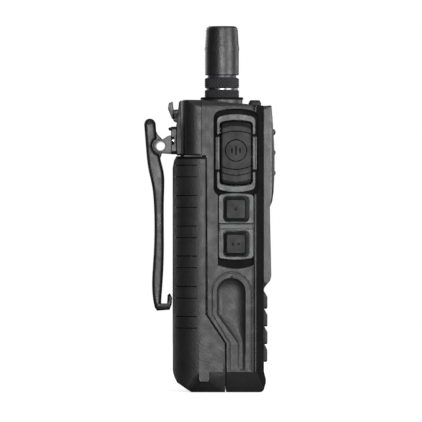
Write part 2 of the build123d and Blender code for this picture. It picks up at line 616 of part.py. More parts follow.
def battery_housing():
    case = battery_block()
    inner = outline((-5, 1.9), (13.0, 1.9), (18.0, 5.2), (PACK_BACK_Y - PACK_WALL, 10.0),
                    (PACK_BACK_Y - PACK_WALL, 97.4), (-5, 97.4))
    plan = outline((-27.7, -6), (-27.7, 19.0), (27.7, 19.0), (27.7, -6))
    plan = fillet([v for v in plan.vertices() if v.Y > 0], PACK_CORNER - PACK_WALL)
    foot = front_outline(130.0, HALF - 27.7)
    case -= slab_x(inner, -28, 28) & slab_z(plan, 0, 99) & slab_y(foot, -10, 30)
    case -= rail_slots()
    case -= block((-4.4, 4.4), (15.0, 19.5), (94.0, 100))
    centre = Pos(HALF - PACK_CORNER, PACK_BACK_Y - PACK_CORNER)
    band = centre * (Circle(PACK_CORNER + 1) - Circle(PACK_CORNER - 0.4))
    band &= Pos(HALF, 15.2) * Rectangle(16, 9.4)
    for z in GROOVES_Z:
        for offset in (-2.45, 2.45):
            case -= both_sides(slab_z(band, z + offset - 0.2, z + offset + 0.2))
    rib = Pos(7.5, 12.4) * RectangleRounded(4.2, 17.0, 2.0)
    case += both_sides(slab_x(rib, HALF - 2.0, HALF + 0.5)) & block((-31, 31), (-5, 20), (4.6, 40))
    for x in (-9.0, 9.0):
        case -= rod_y(2.6, 20.0, 22, x, 16.0)
    return case


def battery_lid():
    y0, y1 = SEAM_MID_Y + PLAY, SEAM_LOW_Y + PLAY
    profile = outline((y0, 97.3), (y0, STEP_TOP_Z), (y1, STEP_LOW_Z), (y1, 2.0), (y1 + LID, 2.0),
                      (y1 + LID, STEP_LOW_Z), (y0 + LID, STEP_TOP_Z), (y0 + LID, 97.3))
    lid = slab_x(profile, -HALF, HALF) & slab_y(front_outline(130.0, HALF - 27.4), -10, 30)
    lid -= rail_slots()
    for x in CONTACTS_X:
        lid -= block((x - 1.5, x + 1.5), (y0 - 1, y0 + 0.4), (46.0, 52.0))
    return lid


def battery_cells():
    """Two flat cells whose outer corners follow the rounded case."""
    cell = block((0.3, 25.4), (9.8, 18.2), (36.0, 92.0))
    upright = cell.edges().filter_by(Axis.Z)
    outer = [edge for edge in upright if edge.center().X > 20 and edge.center().Y > 15]
    cell = fillet(outer, 8.2)
    twin = mirror(cell, about=Plane.YZ)
    return Compound(children=[cell.solid(), twin.solid()])


def battery_contacts():
    """Four blades towards the radio and two round pads for a charging cradle."""
    y0 = SEAM_MID_Y + PLAY
    blades = [block((x - 1.4, x + 1.4), (y0 + 0.05, y0 + 0.4), (46.1, 51.9)) for x in CONTACTS_X]
    pads = [rod_y(2.5, 20.0, 20.6, x, 16.0) for x in (-9.0, 9.0)]
    return Compound(children=[piece.solid() for piece in blades + pads])


def contact_block():
    holder = block((-12.3, 12.3), (2.4, 6.1), (43.9, 54.1))
    for x in CONTACTS_X:
        holder -= block((x - 1.2, x + 1.2), (5.0, 7), (46.5, 51.5))
    return holder


def contact_springs():
    """Bowed leaf contacts that press on the battery's blades."""
    leaves = []
    for x in CONTACTS_X:
        bow = outline((5.0, 46.8), (5.3, 46.8), (6.5, 48.6), (6.5, 49.4), (5.3, 51.2), (5.0, 51.2),
                      (6.2, 49.3), (6.2, 48.7))
        leaves.append(slab_x(bow, x - 1.0, x + 1.0).solid())
    return Compound(children=leaves)


# ---------------------------------------------------------------- belt clip and latch
def clip_bracket():
    hy, hz = HINGE
    y0, y1 = PLATE_Y
    plate = slab_y(Pos(0, 106.1) * RectangleRounded(2 * PLATE_HALF, 11.6, 1.5), y0, y1)
    plate += slab_x(outline((y1 - 0.5, 110.2), (22.6, 110.5), (22.6, 111.4), (y1 - 0.5, 111.8)), -10, 10)
    arm = outline((y1 - 0.5, 100.4), (24.1, 100.6), (26.6, 100.8), (25.0, 106.5), (22.8, 108.0),
                  (y1 - 0.5, 108.3))
    lug = slab_x(arm, 7.8, 10.4) + rod_x(BARREL_RADIUS, 7.8, 10.4, hy, hz)
    plate += both_sides(lug)
    plate -= rod_x(PIN_RADIUS, -12, 12, hy, hz)
    screw_x, screw_z = CLIP_SCREW
    plate -= both_sides(rod_y(1.7, 20.2, 23, screw_x, screw_z) + rod_y(1.0, 18, 23, screw_x, screw_z))
    plate -= both_sides(block((screw_x, 13), (20.2, 21.2), (104.5, 107.5)))
    plate -= rod_y(2.0, 18, 20.4, 0, 108.0)
    return plate


def clip_screws():
    x, z = CLIP_SCREW
    screw = rod_y(1.65, 20.25, 21.5, x, z) + rod_y(0.9, 15.0, 20.25, x, z)
    screw -= block((x - 1.2, x + 1.2), (21.1, 22), (z - 0.25, z + 0.25))
    twin = mirror(screw, about=Plane.YZ)
    return Compound(children=[screw.solid(), twin.solid()])


def clip_pin():
    hy, hz = HINGE
    return rod_x(PIN_RADIUS, -10.4, 10.4, hy, hz) - rod_x(PIN_BORE, -12, 12, hy, hz)


def clip_lever():
    hy, hz = HINGE
    edges = [
        ThreePointArc((32.9, 112.8), (30.5, 115.3), (28.1, 112.7)),
        Spline((28.1, 112.7), (27.2, 104.5), (26.0, 98.0), (24.7, 92.4), (24.55, 84.0), (24.7, 56.0),
               (25.6, 40.5)),
        Polyline((25.6, 40.5), (25.8, 36.9), (23.2, 36.9), (23.0, 40.6), (22.1, 41.3), (21.15, 39.4),
                 (21.3, 36.6), (22.1, 34.4), (27.4, 34.0), (28.4, 35.3)),
        Spline((28.4, 35.3), (29.4, 41.5), (29.0, 56.0), (28.8, 79.0), (29.6, 87.0), (31.0, 93.5),
               (32.2, 103.7), (32.9, 112.8)),
    ]
    lever = slab_x(make_face(edges), -CLIP_HALF, CLIP_HALF)
    corner = slab_y(Pos(0, 74.6) * RectangleRounded(2 * CLIP_HALF, 82.0, 3.5), 15, 40)
    lever &= corner
    knuckle = outline((28.6, 111.6), (27.2, 108.6), (25.0, 106.4), (23.6, 102.0), (25.4, 100.9),
                      (26.2, 98.4), (29.5, 98.4), (30.5, 111.0))
    lever += both_sides(slab_x(knuckle, 4.9, 7.5) + rod_x(BARREL_RADIUS, 4.9, 7.5, hy, hz))
    clear = BARREL_RADIUS + 0.4
    lever -= both_sides(rod_x(clear, 7.5, 12, hy, hz)) + rod_x(clear, -4.9, 4.9, hy, hz)
    return lever - rod_x(PIN_RADIUS + FIT, -12, 12, hy, hz)


def clip_spring():
    """Torsion spring wound on the hinge pin, with one leg down the lever and one on the bracket."""
    hy, hz = HINGE
    wire, coil = 0.3, PIN_RADIUS + 0.55
    path = Helix(pitch=0.95, height=7.6, radius=coil)
    section = Plane(origin=path @ 0, z_dir=path % 0) * Circle(wire)
    return Pos(-3.8, hy, hz) * Rot(0, 90, 0) * sweep(section, path)


def battery_latch():
    """Rocking latch: a tab to press at the top and a long leg that hooks under the battery's roof."""
    ly, lz = LATCH
    tab = outline((20.9, 122.5), (22.5, 121.8), (22.8, 119.4), (21.2, 115.4), (19.6, 114.9),
                  (18.6, 116.4), (19.6, 117.9), (20.5, 119.4))
    leg = outline((19.6, 115.2), (17.6, 112.8), (17.6, 95.6), (14.2, 95.6), (14.0, 97.0), (16.0, 97.2),
                  (16.0, 113.4), (18.8, 117.4))
    latch = slab_x(tab, -7.7, 7.7) + rod_x(1.5, -7.7, 7.7, ly, lz) + slab_x(leg, -3.9, 3.9)
    return latch - rod_x(LATCH_PIN_RADIUS + FIT, -12, 12, ly, lz)


def latch_pin():
    ly, lz = LATCH
    return rod_x(LATCH_PIN_RADIUS, -10.2, 10.2, ly, lz)


def latch_spring():
    """Coil spring between the clip bracket and the latch leg."""
    wire = 0.2
    path = Helix(pitch=0.7, height=1.9, radius=1.5)
    section = Plane(origin=path @ 0, z_dir=path % 0) * Circle(wire)
    return Pos(0, 20.1, 108.0) * Rot(90, 0, 0) * sweep(section, path)


# ---------------------------------------------------------------- every piece, one file each
PIECES = {
    "front_shell": front_shell, "front_bezel": front_bezel, "speaker_grille": speaker_grille,
    "speaker": speaker, "lcd_window": lcd_window, "lcd_module": lcd_module,
    "keypad_membrane": keypad_membrane, "main_board": main_board, "microphone": microphone,
    "rear_chassis": rear_chassis, "chassis_screws": chassis_screws, "ptt_frame": ptt_frame,
    "ptt_button": ptt_button, "side_button_panel": side_button_panel,
    "side_button_upper": lambda: side_button(SIDE_KEYS_Z[0]),
    "side_button_lower": lambda: side_button(SIDE_KEYS_Z[1]),
    "side_switches": side_switches, "jack_cover": jack_cover, "jack_block": jack_block,
    "alarm_base": alarm_base, "alarm_button": alarm_button, "status_lens": status_lens,
    "volume_encoder": volume_encoder, "volume_shaft": volume_shaft, "volume_knob": volume_knob,
    "antenna_flange": antenna_flange, "antenna_socket": antenna_socket,
    "antenna_base_ring": antenna_base_ring, "antenna_seal": antenna_seal,
    "antenna_contact_ring": antenna_contact_ring, "antenna_collar": antenna_collar,
    "antenna_core": antenna_core, "antenna_sheath": antenna_sheath,
    "battery_housing": battery_housing, "battery_lid": battery_lid,
    "battery_cells": battery_cells, "battery_contacts": battery_contacts,
    "contact_block": contact_block, "contact_springs": contact_springs,
    "clip_bracket": clip_bracket, "clip_screws": clip_screws, "clip_pin": clip_pin,
    "clip_lever": clip_lever, "clip_spring": clip_spring, "battery_latch": battery_latch,
    "latch_pin": latch_pin, "latch_spring": latch_spring,
}


def main():
    os.makedirs("parts", exist_ok=True)
    for name, make in PIECES.items():
        export_step(make(), os.path.join("parts", name + ".step"))
    for row, names in enumerate(KEY_NAMES):
        for column, name in enumerate(names):
            export_step(key(row, column), os.path.join("parts", name + ".step"))


main()
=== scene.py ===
import json
import math

import bmesh
import bpy
from bpy.props import FloatProperty, FloatVectorProperty, IntProperty, PointerProperty
from mathutils import Matrix, Vector
from mathutils.geometry import intersect_point_line

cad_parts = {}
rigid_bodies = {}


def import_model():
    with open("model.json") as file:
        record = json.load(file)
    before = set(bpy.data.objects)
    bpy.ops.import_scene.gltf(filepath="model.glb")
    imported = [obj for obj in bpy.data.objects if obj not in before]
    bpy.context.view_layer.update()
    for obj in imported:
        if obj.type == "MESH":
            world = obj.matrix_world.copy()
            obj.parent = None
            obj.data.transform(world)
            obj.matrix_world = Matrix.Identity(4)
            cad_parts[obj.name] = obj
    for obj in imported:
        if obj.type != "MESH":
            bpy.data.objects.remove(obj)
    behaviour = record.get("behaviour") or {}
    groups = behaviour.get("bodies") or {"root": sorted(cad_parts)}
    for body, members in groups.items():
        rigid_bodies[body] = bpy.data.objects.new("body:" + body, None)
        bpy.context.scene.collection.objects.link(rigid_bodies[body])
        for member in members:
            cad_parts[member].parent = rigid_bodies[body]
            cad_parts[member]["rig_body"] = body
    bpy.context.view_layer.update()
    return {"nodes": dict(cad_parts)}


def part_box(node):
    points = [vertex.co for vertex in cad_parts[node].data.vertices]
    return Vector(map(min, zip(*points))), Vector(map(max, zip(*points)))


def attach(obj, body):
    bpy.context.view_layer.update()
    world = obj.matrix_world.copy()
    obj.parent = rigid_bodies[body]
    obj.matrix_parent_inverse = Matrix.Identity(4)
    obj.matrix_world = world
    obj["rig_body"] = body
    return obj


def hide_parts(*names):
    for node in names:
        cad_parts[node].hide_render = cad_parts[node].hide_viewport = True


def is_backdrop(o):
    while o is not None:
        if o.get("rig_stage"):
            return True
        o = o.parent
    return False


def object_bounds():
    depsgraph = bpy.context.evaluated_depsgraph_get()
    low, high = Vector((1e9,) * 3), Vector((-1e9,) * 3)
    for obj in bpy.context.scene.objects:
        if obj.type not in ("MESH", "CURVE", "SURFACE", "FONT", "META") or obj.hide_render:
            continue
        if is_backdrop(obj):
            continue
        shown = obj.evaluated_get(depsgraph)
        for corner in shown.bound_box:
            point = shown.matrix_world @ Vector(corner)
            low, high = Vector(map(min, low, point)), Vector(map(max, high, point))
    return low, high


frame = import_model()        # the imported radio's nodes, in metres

bl_info = {
    "name": "Two-way radio looks",
    "version": (1, 0, 0),
    "blender": (4, 5, 0),
    "location": "View3D > Sidebar > Radio",
    "description": "Builds the casings, controls, antenna, battery and belt clip of a hand-held radio",
    "category": "Object",
}

NODES = frame["nodes"]

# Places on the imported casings, in metres, that pick out faces and edges.
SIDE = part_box("front_shell")[1].x     # half the width of the casing
PANEL_FACE = -0.0298                  # just inside the outer face of the side panel
SHOULDER = 0.0994                     # seam between the chassis and the battery
FOOT_TAPER = 0.0084                   # the sides lean inwards below this height
PANEL_BAR = 0.0709                    # upper edge of the bar between the square buttons
PACK_SEAM = ((0.0062, 0.0990), (0.0062, 0.0327), (-0.0018, 0.0206), (-0.0018, 0.0012))
CHASSIS_SEAM = ((0.0085, 0.1220), (0.0085, 0.0999))
GASKET_STARTS = (-0.0252, 0.0240)
GASKET_WIDTH = 0.0012
SCOOP_FLOOR = -0.028                  # flat floor of the thumb scoop
SCOOP_TOP = 0.05                      # the scoop lies below this height
SCOOP_GRID = 0.0007
CAP_GRID = 0.00024
SIDE_SHADE_DEPTHS = (-0.0123, -0.0138)             # painted shade: the casing's sides fade to black between these depths
GROOVE_HEIGHTS = (0.020, 0.096)       # the battery's grip grooves lie between these


# ---------------------------------------------------------------- settings
def colour_setting(name, description, default):
    return FloatVectorProperty(name=name, description=description, default=default,
                               subtype="COLOR", size=3, min=0.0, max=1.0)


def length_setting(name, description, default, least=0.0):
    return FloatProperty(name=name, description=description, default=default,
                         subtype="DISTANCE", unit="LENGTH", min=least, precision=5)


def power_setting(name, description, default):
    return FloatProperty(name=name, description=description, default=default, unit="POWER", min=0.0)


def share_setting(name, description, default):
    return FloatProperty(name=name, description=description, default=default,
                         subtype="FACTOR", min=0.0, max=1.0)


class RadioFinish(bpy.types.PropertyGroup):
    """Colours and grain of the radio's materials."""

    shell: colour_setting("Casing", "Colour of the moulded front casing", (0.016, 0.016, 0.0165))
    bezel: colour_setting("Bezel", "Colour of the front bezel and the side panel", (0.026, 0.026, 0.027))
    battery: colour_setting("Battery", "Colour of the battery housing", (0.016, 0.016, 0.0165))
    rubber: colour_setting("Rubber", "Colour of the buttons and keys", (0.009, 0.009, 0.0095))
    clip: colour_setting("Clip", "Colour of the belt clip", (0.030, 0.030, 0.031))
    # This colour is also the painted shade in pockets, grooves, chamfers and round edges.
    gap: colour_setting("Gap", "Colour down in the pockets and seams", (0.003, 0.003, 0.003))
    cast: colour_setting("Casting", "Colour of the painted die-cast chassis", (0.012, 0.012, 0.0125))
    black_metal: colour_setting("Black metal", "Colour of blackened metal", (0.11, 0.11, 0.112))
    bright_metal: colour_setting("Bright metal", "Colour of plated metal", (0.72, 0.72, 0.70))
    brass: colour_setting("Brass", "Colour of the contacts", (0.78, 0.57, 0.26))
    display: colour_setting("Display", "Colour of the display", (0.20, 0.24, 0.20))
    print_white: colour_setting("Print", "Colour of the figures on the keys", (0.62, 0.62, 0.60))
    grain: length_setting("Grain size", "Width of one pit of the moulded grain", 0.0008)
    grain_depth: length_setting("Grain depth", "Depth of the moulded grain", 0.0001)
    # Edge wear is part wear and part painted highlight: the rounded edges are lighter, as where they catch
    # the light.
    wear: share_setting("Edge wear", "How far rubbed edges are lighter than the flats", 0.5)


class RadioShape(bpy.types.PropertyGroup):
    """Sizes of the edges and the surface detail."""

    edge: length_setting("Casing edge", "Rounding of the casing's edges", 0.0004)
    pack_corner: length_setting("Battery corner", "Rounding of the battery's rear corners", 0.013)
    lever_edge: length_setting("Clip edge", "Rounding of the belt clip's edges", 0.0014)
    key_edge: length_setting("Key edge", "Rounding of the keys' edges", 0.0004)
    seam_line: length_setting("Seam line", "Width of the dark seams between mouldings", 0.00045)
    knurl_depth: length_setting("Knurl depth", "Height of one point of the knurling", 0.0005)
    knurl_count: IntProperty(name="Knurl count", description="Points round the antenna collar",
                             default=60, min=12, max=120)
    grip_ribs: IntProperty(name="Knob ribs", description="Grip ribs round the volume knob",
                           default=20, min=8, max=48)
    scoop_depth: length_setting("Scoop depth", "Depth of the thumb scoop", 0.0025)
    scoop_reach: length_setting("Scoop slope", "Width of the slope inside the scoop's rim", 0.0047)


class RadioStudio(bpy.types.PropertyGroup):
    """Light and camera."""

    key_power: power_setting("Side light", "Power of the light on the talk-button side", 8.2)
    front_power: power_setting("Front light", "Power of the light on the front corner", 8.5)
    fill_power: power_setting("Fill lights", "Power of the lights on the front and the back", 3.5)
    top_power: power_setting("Top light", "Power of the light overhead", 1.5)
    back_power: power_setting("Back light", "Power of the light behind", 3.5)
    surround: share_setting("Surround", "Brightness of the room", 0.035)
    floor_glow: share_setting("Floor glow", "Light that the pale floor adds of its own", 0.75)
    distance: length_setting("Camera distance", "From the lens to the middle of the radio", 3.0)
    field: length_setting("Field", "Width seen at the side of the radio", 0.1772)
    aim_y: length_setting("Aim depth", "Depth that the camera aims at", 0.0046, least=-1.0)
    aim_z: length_setting("Aim height", "Height that the camera aims at", 0.0762, least=-1.0)


# ---------------------------------------------------------------- materials
def add_node(tree, kind, place, **values):
    """Shader node whose settings and inputs are given by name, with _ for a space."""
    node = tree.nodes.new("ShaderNode" + kind)
    node.location = place
    for name, value in values.items():
        if hasattr(node, name):
            setattr(node, name, value)
        else:
            node.inputs[name.replace("_", " ")].default_value = value
    return node


def found_node(material, kind):
    return next(n for n in material.node_tree.nodes if n.bl_idname == "ShaderNode" + kind)


def join(tree, *pairs):
    for out, into in pairs:
        tree.links.new(out, into)


def ramped(tree, source, low, high, place):
    """A noise value stretched to run from low to high."""
    node = add_node(tree, "MapRange", place, From_Min=0.3, From_Max=0.7, To_Min=low, To_Max=high)
    join(tree, (source, node.inputs["Value"]))
    return node.outputs["Result"]


def grained(name, colour, roughness, grain=None, depth=None, mottle=0.22, speckle=0.22,
            metallic=0.0, specular=0.5):
    """Solid finish with a mottled colour, speckled grain and uneven gloss."""
    found = bpy.data.materials.get(name)
    if found:
        return found
    finish = bpy.context.scene.radio_finish
    grain = grain or finish.grain
    depth = finish.grain_depth if depth is None else depth
    material = bpy.data.materials.new(name)
    material.use_nodes = True
    tree = material.node_tree
    tree.nodes.clear()
    shader = add_node(tree, "BsdfPrincipled", (300, 0), Metallic=metallic, Specular_IOR_Level=specular)
    out = add_node(tree, "OutputMaterial", (600, 0))
    place = add_node(tree, "TexCoord", (-1100, 0)).outputs["Object"]
    cloud = add_node(tree, "TexNoise", (-900, 300), Scale=70.0, Detail=3.0)
    pits = add_node(tree, "TexNoise", (-900, 0), Scale=1.0 / grain, Detail=2.0)
    gloss = add_node(tree, "TexNoise", (-900, -300), Scale=260.0, Detail=4.0)
    broad = ramped(tree, cloud.outputs["Fac"], 1.0 - mottle, 1.0 + mottle, (-700, 300))
    fine = ramped(tree, pits.outputs["Fac"], 1.0 - speckle, 1.0 + speckle, (-700, 100))
    rough = ramped(tree, gloss.outputs["Fac"], max(roughness - 0.07, 0.03), roughness + 0.07, (-500, -300))
    both = add_node(tree, "Math", (-500, 200), operation="MULTIPLY")
    tint = add_node(tree, "VectorMath", (-200, 200), operation="SCALE")
    tint.inputs[0].default_value = colour[:3]
    bump = add_node(tree, "Bump", (0, -300), Strength=1.0, Distance=depth)
    join(tree, *((place, texture.inputs["Vector"]) for texture in (cloud, pits, gloss)),
         (broad, both.inputs[0]), (fine, both.inputs[1]), (both.outputs[0], tint.inputs["Scale"]),
         (tint.outputs[0], shader.inputs["Base Color"]), (rough, shader.inputs["Roughness"]),
         (pits.outputs["Fac"], bump.inputs["Height"]), (bump.outputs["Normal"], shader.inputs["Normal"]),
         (shader.outputs["BSDF"], out.inputs["Surface"]))
    return material


def brushed(name, colour, roughness, axis=2, metallic=1.0):
    """Metal with fine machining marks round one axis."""
    found = bpy.data.materials.get(name)
    if found:
        return found
    material = grained(name, colour, roughness, grain=0.0004, depth=0.00001, mottle=0.1,
                       speckle=0.1, metallic=metallic)
    tree = material.node_tree
    marks = add_node(tree, "TexNoise", (-600, -600), Scale=300.0, Detail=3.0)
    stretch = add_node(tree, "Mapping", (-900, -600), Scale=[12.0 if i == axis else 1.0 for i in range(3)])
    join(tree, (found_node(material, "TexCoord").outputs["Object"], stretch.inputs["Vector"]),
         (stretch.outputs["Vector"], marks.inputs["Vector"]),
         (marks.outputs["Fac"], found_node(material, "Bump").inputs["Height"]))
    return material


def clear(name, colour, roughness, transmission):
    """Clear or smoked plastic, with faint surface haze."""
    material = grained(name, colour, roughness, grain=0.002, depth=0.000002, mottle=0.05, speckle=0.05)
    shader = found_node(material, "BsdfPrincipled")
    shader.inputs["Transmission Weight"].default_value = transmission
    shader.inputs["IOR"].default_value = 1.49
    return material


def display_glass(name, colour):
    """Display panel: rows and columns of faint dots over a graded ground."""
    found = bpy.data.materials.get(name)
    if found:
        return found
    material = grained(name, colour, 0.35, grain=0.003, depth=0.000001, mottle=0.08, speckle=0.04)
    tree = material.node_tree
    ground, faint, gap = ([c * share for c in colour[:3]] + [1.0] for share in (1.0, 0.94, 0.8))
    turn = add_node(tree, "Mapping", (-800, 600), Rotation=(math.pi / 2, 0, 0))
    dots = add_node(tree, "TexBrick", (-600, 600), offset=0.0, squash=1.0, Scale=1.0, Mortar_Size=0.00006,
                    Brick_Width=0.0006, Row_Height=0.0006, Color1=ground, Color2=faint, Mortar=gap)
    join(tree, (found_node(material, "TexCoord").outputs["Object"], turn.inputs["Vector"]),
         (turn.outputs["Vector"], dots.inputs["Vector"]),
         (dots.outputs["Color"], found_node(material, "BsdfPrincipled").inputs["Base Color"]))
    return material


def finish_pair(key):
    """A finish for the flats and a smoother, lighter one for the edges: part rubbed wear, part painted
    highlight where edges catch the light.
    """
    finish = bpy.context.scene.radio_finish
    colour, roughness = {
        "casing": (finish.shell, 0.50), "bezel": (finish.bezel, 0.42), "battery": (finish.battery, 0.50),
        "rubber": (finish.rubber, 0.58), "cast": (finish.cast, 0.46), "clip": (finish.clip, 0.44),
        "seal": (finish.gap, 0.6), "shade": (finish.gap, 0.7), "sheath": (finish.shell, 0.40),
        # foot is the casing colour darkened, a painted shade for the downward-facing foot.
        "foot": ([c * 0.35 for c in finish.shell], 0.7), "black_metal": (finish.black_metal, 0.32),
    }[key]
    specular = {"rubber": 0.38, "shade": 0.2, "foot": 0.25}.get(key, 0.5)
    rubbed_and_lit = [min(1.0, c * (1.0 + finish.wear)) for c in colour[:3]]
    return [grained(key, colour, roughness, specular=specular),
            grained(key + "_edge", rubbed_and_lit, roughness - 0.06)]


def darken_sides(material, reach):
    """Painted shade: let the flat sides, beyond this half width, fade to black towards the front seam."""
    tree, tint = material.node_tree, found_node(material, "VectorMath")
    shader = found_node(material, "BsdfPrincipled")
    apart = add_node(tree, "SeparateXYZ", (-900, 900))
    width = add_node(tree, "Math", (-700, 1000), operation="ABSOLUTE")
    beside = add_node(tree, "Math", (-500, 1000), operation="GREATER_THAN")
    fade = add_node(tree, "MapRange", (-700, 800), From_Min=SIDE_SHADE_DEPTHS[0], From_Max=SIDE_SHADE_DEPTHS[1],
                    To_Min=0.0, To_Max=0.94)
    dark = add_node(tree, "Math", (-300, 900), operation="MULTIPLY")
    left = add_node(tree, "Math", (-100, 900), operation="SUBTRACT")
    scale = add_node(tree, "Math", (-300, 400), operation="MULTIPLY")
    shine = add_node(tree, "Math", (100, 600), operation="MULTIPLY")
    beside.inputs[1].default_value = reach
    left.inputs[0].default_value = 1.0
    shine.inputs[1].default_value = 0.5
    before = tint.inputs["Scale"].links[0].from_socket
    join(tree, (found_node(material, "TexCoord").outputs["Object"], apart.inputs[0]),
         (apart.outputs["X"], width.inputs[0]), (width.outputs[0], beside.inputs[0]),
         (apart.outputs["Y"], fade.inputs["Value"]), (beside.outputs[0], dark.inputs[0]),
         (fade.outputs["Result"], dark.inputs[1]), (dark.outputs[0], left.inputs[1]),
         (left.outputs[0], shine.inputs[0]), (shine.outputs[0], shader.inputs["Specular IOR Level"]),
         (before, scale.inputs[0]), (left.outputs[0], scale.inputs[1]),
         (scale.outputs[0], tint.inputs["Scale"]))


# Black for dark seams and the talk button's symbol, and for painted shade in pockets, grooves, chamfers and
# round edges.
def gap_black():
    return grained("gap_black", bpy.context.scene.radio_finish.gap, 0.8, specular=0.15)


def printed():
    white = bpy.context.scene.radio_finish.print_white
    return grained("key_print", white, 0.5, speckle=0.08, depth=0.00001)


# ---------------------------------------------------------------- shaping
def merged_copy(node):
    """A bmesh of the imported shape, with its triangles joined into flat faces."""
    bm = bmesh.new()
    bm.from_mesh(NODES[node].data)
    bmesh.ops.remove_doubles(bm, verts=bm.verts, dist=1e-6)
    for face in bm.faces:
        face.material_index = 0
    bmesh.ops.dissolve_limit(bm, angle_limit=math.radians(0.4), verts=bm.verts, edges=bm.edges,
                             use_dissolve_boundaries=False)
    return bm


def round_edges(bm, radius, segments=2, sharp=32, where=None):
    """Round the sharp outer edges that the test picks; the rounding takes the second finish."""
    picked = [e for e in bm.edges
              if len(e.link_faces) == 2 and e.is_convex
              and e.calc_face_angle(0.0) > math.radians(sharp)
              and (where is None or where((e.verts[0].co + e.verts[1].co) / 2))]
    made = bmesh.ops.bevel(bm, geom=picked, offset=radius, offset_type="OFFSET", segments=segments,
                           profile=0.5, affect="EDGES", clamp_overlap=False, material=-1)
    for face in made["faces"]:
        if face.material_index == 0:
            face.material_index = 1
    bmesh.ops.dissolve_degenerate(bm, dist=1e-6, edges=bm.edges)


def rounded(node, radius, **choices):
    """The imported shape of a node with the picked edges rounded."""
    bm = merged_copy(node)
    round_edges(bm, radius, **choices)
    return bm


def mesh_of(name, bm):
    mesh = bpy.data.meshes.new(name)
    bm.to_mesh(mesh)
    bm.free()
    return mesh


def placed(name, data):
    """New object in the scene."""
    obj = bpy.data.objects.new(name, data)
    bpy.context.scene.collection.objects.link(obj)
    return obj


def piece(name, bm, finishes, slot, *nodes, body=None, crease=34, weighted=True):
    """Make the bmesh a shown piece that rides on a body and stands for its nodes."""
    mesh = mesh_of(name, bm)
    for finish in finishes:
        mesh.materials.append(finish)
    mesh.shade_smooth()
    mesh.set_sharp_from_angle(angle=math.radians(crease))
    obj = placed(name, mesh)
    if weighted:
        obj.modifiers.new("Weighted normals", "WEIGHTED_NORMAL").keep_sharp = True
    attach(obj, body or NODES[nodes[0]]["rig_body"])
    if nodes:
        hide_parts(*nodes)
    return obj


def turned(centre, profile, steps=96):
    """Turn (radius, height) points, in metres, round the upright axis through the centre."""
    bm = bmesh.new()
    verts = [bm.verts.new((centre.x + r, centre.y, z)) for r, z in profile]
    edges = [bm.edges.new(pair) for pair in zip(verts, verts[1:])]
    bmesh.ops.spin(bm, geom=verts + edges, cent=centre, axis=(0, 0, 1), angle=2 * math.pi,
                   steps=steps, use_merge=True)
    bmesh.ops.remove_doubles(bm, verts=bm.verts, dist=1e-7)
    bmesh.ops.recalc_face_normals(bm, faces=bm.faces)
    return bm


def verts_in(geom):
    return [v for v in geom if isinstance(v, bmesh.types.BMVert)]


def add_bar(bm, centre, size, finish_index):
    """Small box in one finish."""
    place = Matrix.Translation(centre) @ Matrix.Diagonal((*size, 1.0))
    for vert in bmesh.ops.create_cube(bm, size=1.0, matrix=place)["verts"]:
        for face in vert.link_faces:
            face.material_index = finish_index


def rounded_plate(bm, radius, place):
    """Flat plate with round corners, which a function of (-1 or 1, -1 or 1) puts in place."""
    corners = bmesh.ops.create_grid(bm, x_segments=1, y_segments=1, size=1.0)["verts"]
    for vert in corners:
        vert.co = place(vert.co.x, vert.co.y)
    bmesh.ops.bevel(bm, geom=corners, offset=radius, offset_type="OFFSET", segments=6, profile=0.5,
                    affect="VERTICES", material=-1, clamp_overlap=True)


def edge_lines(face):
    return [(e.verts[0].co.copy(), e.verts[1].co.copy()) for e in face.edges]


def sliced(bm, face, step):
    """Cut one flat face into a fine grid across Y and Z, and return the grid's vertices."""
    low = Vector([min(v.co[i] for v in face.verts) for i in range(3)])
    high = Vector([max(v.co[i] for v in face.verts) for i in range(3)])
    layer = bm.faces.layers.int["patch"]
    face[layer] = 1
    for axis in (1, 2):
        normal = Vector([1.0 if i == axis else 0.0 for i in range(3)])
        cuts = int((high[axis] - low[axis]) / step)
        for cut in range(1, cuts + 1):
            at = normal * (low[axis] + cut * (high[axis] - low[axis]) / (cuts + 1))
            geom = dict.fromkeys(part for f in bm.faces if f[layer] for part in (f, *f.edges, *f.verts))
            bmesh.ops.bisect_plane(bm, geom=list(geom), plane_co=at, plane_no=normal, dist=1e-7)
    return {v for f in bm.faces if f[layer] for v in f.verts}


def rim_of(faces):
    """Edges round a group of faces."""
    inside = set(faces)
    return [e for f in faces for e in f.edges if sum(g in inside for g in e.link_faces) == 1]


def depth_inside(point, rim):
    """Distance from a point to the nearest piece of the rim."""
    best = 1.0
    for a, b in rim:
        near, share = intersect_point_line(point, a, b)
        near = a if share < 0 else b if share > 1 else near
        best = min(best, (point - near).length)
    return best


def upright_text(bm, text, size, depth, centre, finish_index):
    """Raised figure that faces the front, middle at the centre."""
    curve = bpy.data.curves.new("figure", "FONT")
    curve.body, curve.size, curve.extrude = text, size, depth
    curve.align_x = curve.align_y = "CENTER"
    holder = placed("figure", curve)
    mesh = bpy.data.meshes.new_from_object(holder)
    bpy.data.objects.remove(holder)
    mesh.transform(Matrix.Translation(centre) @ Matrix.Rotation(math.pi / 2, 4, "X"))
    for polygon in mesh.polygons:
        polygon.material_index = finish_index
    bm.from_mesh(mesh)


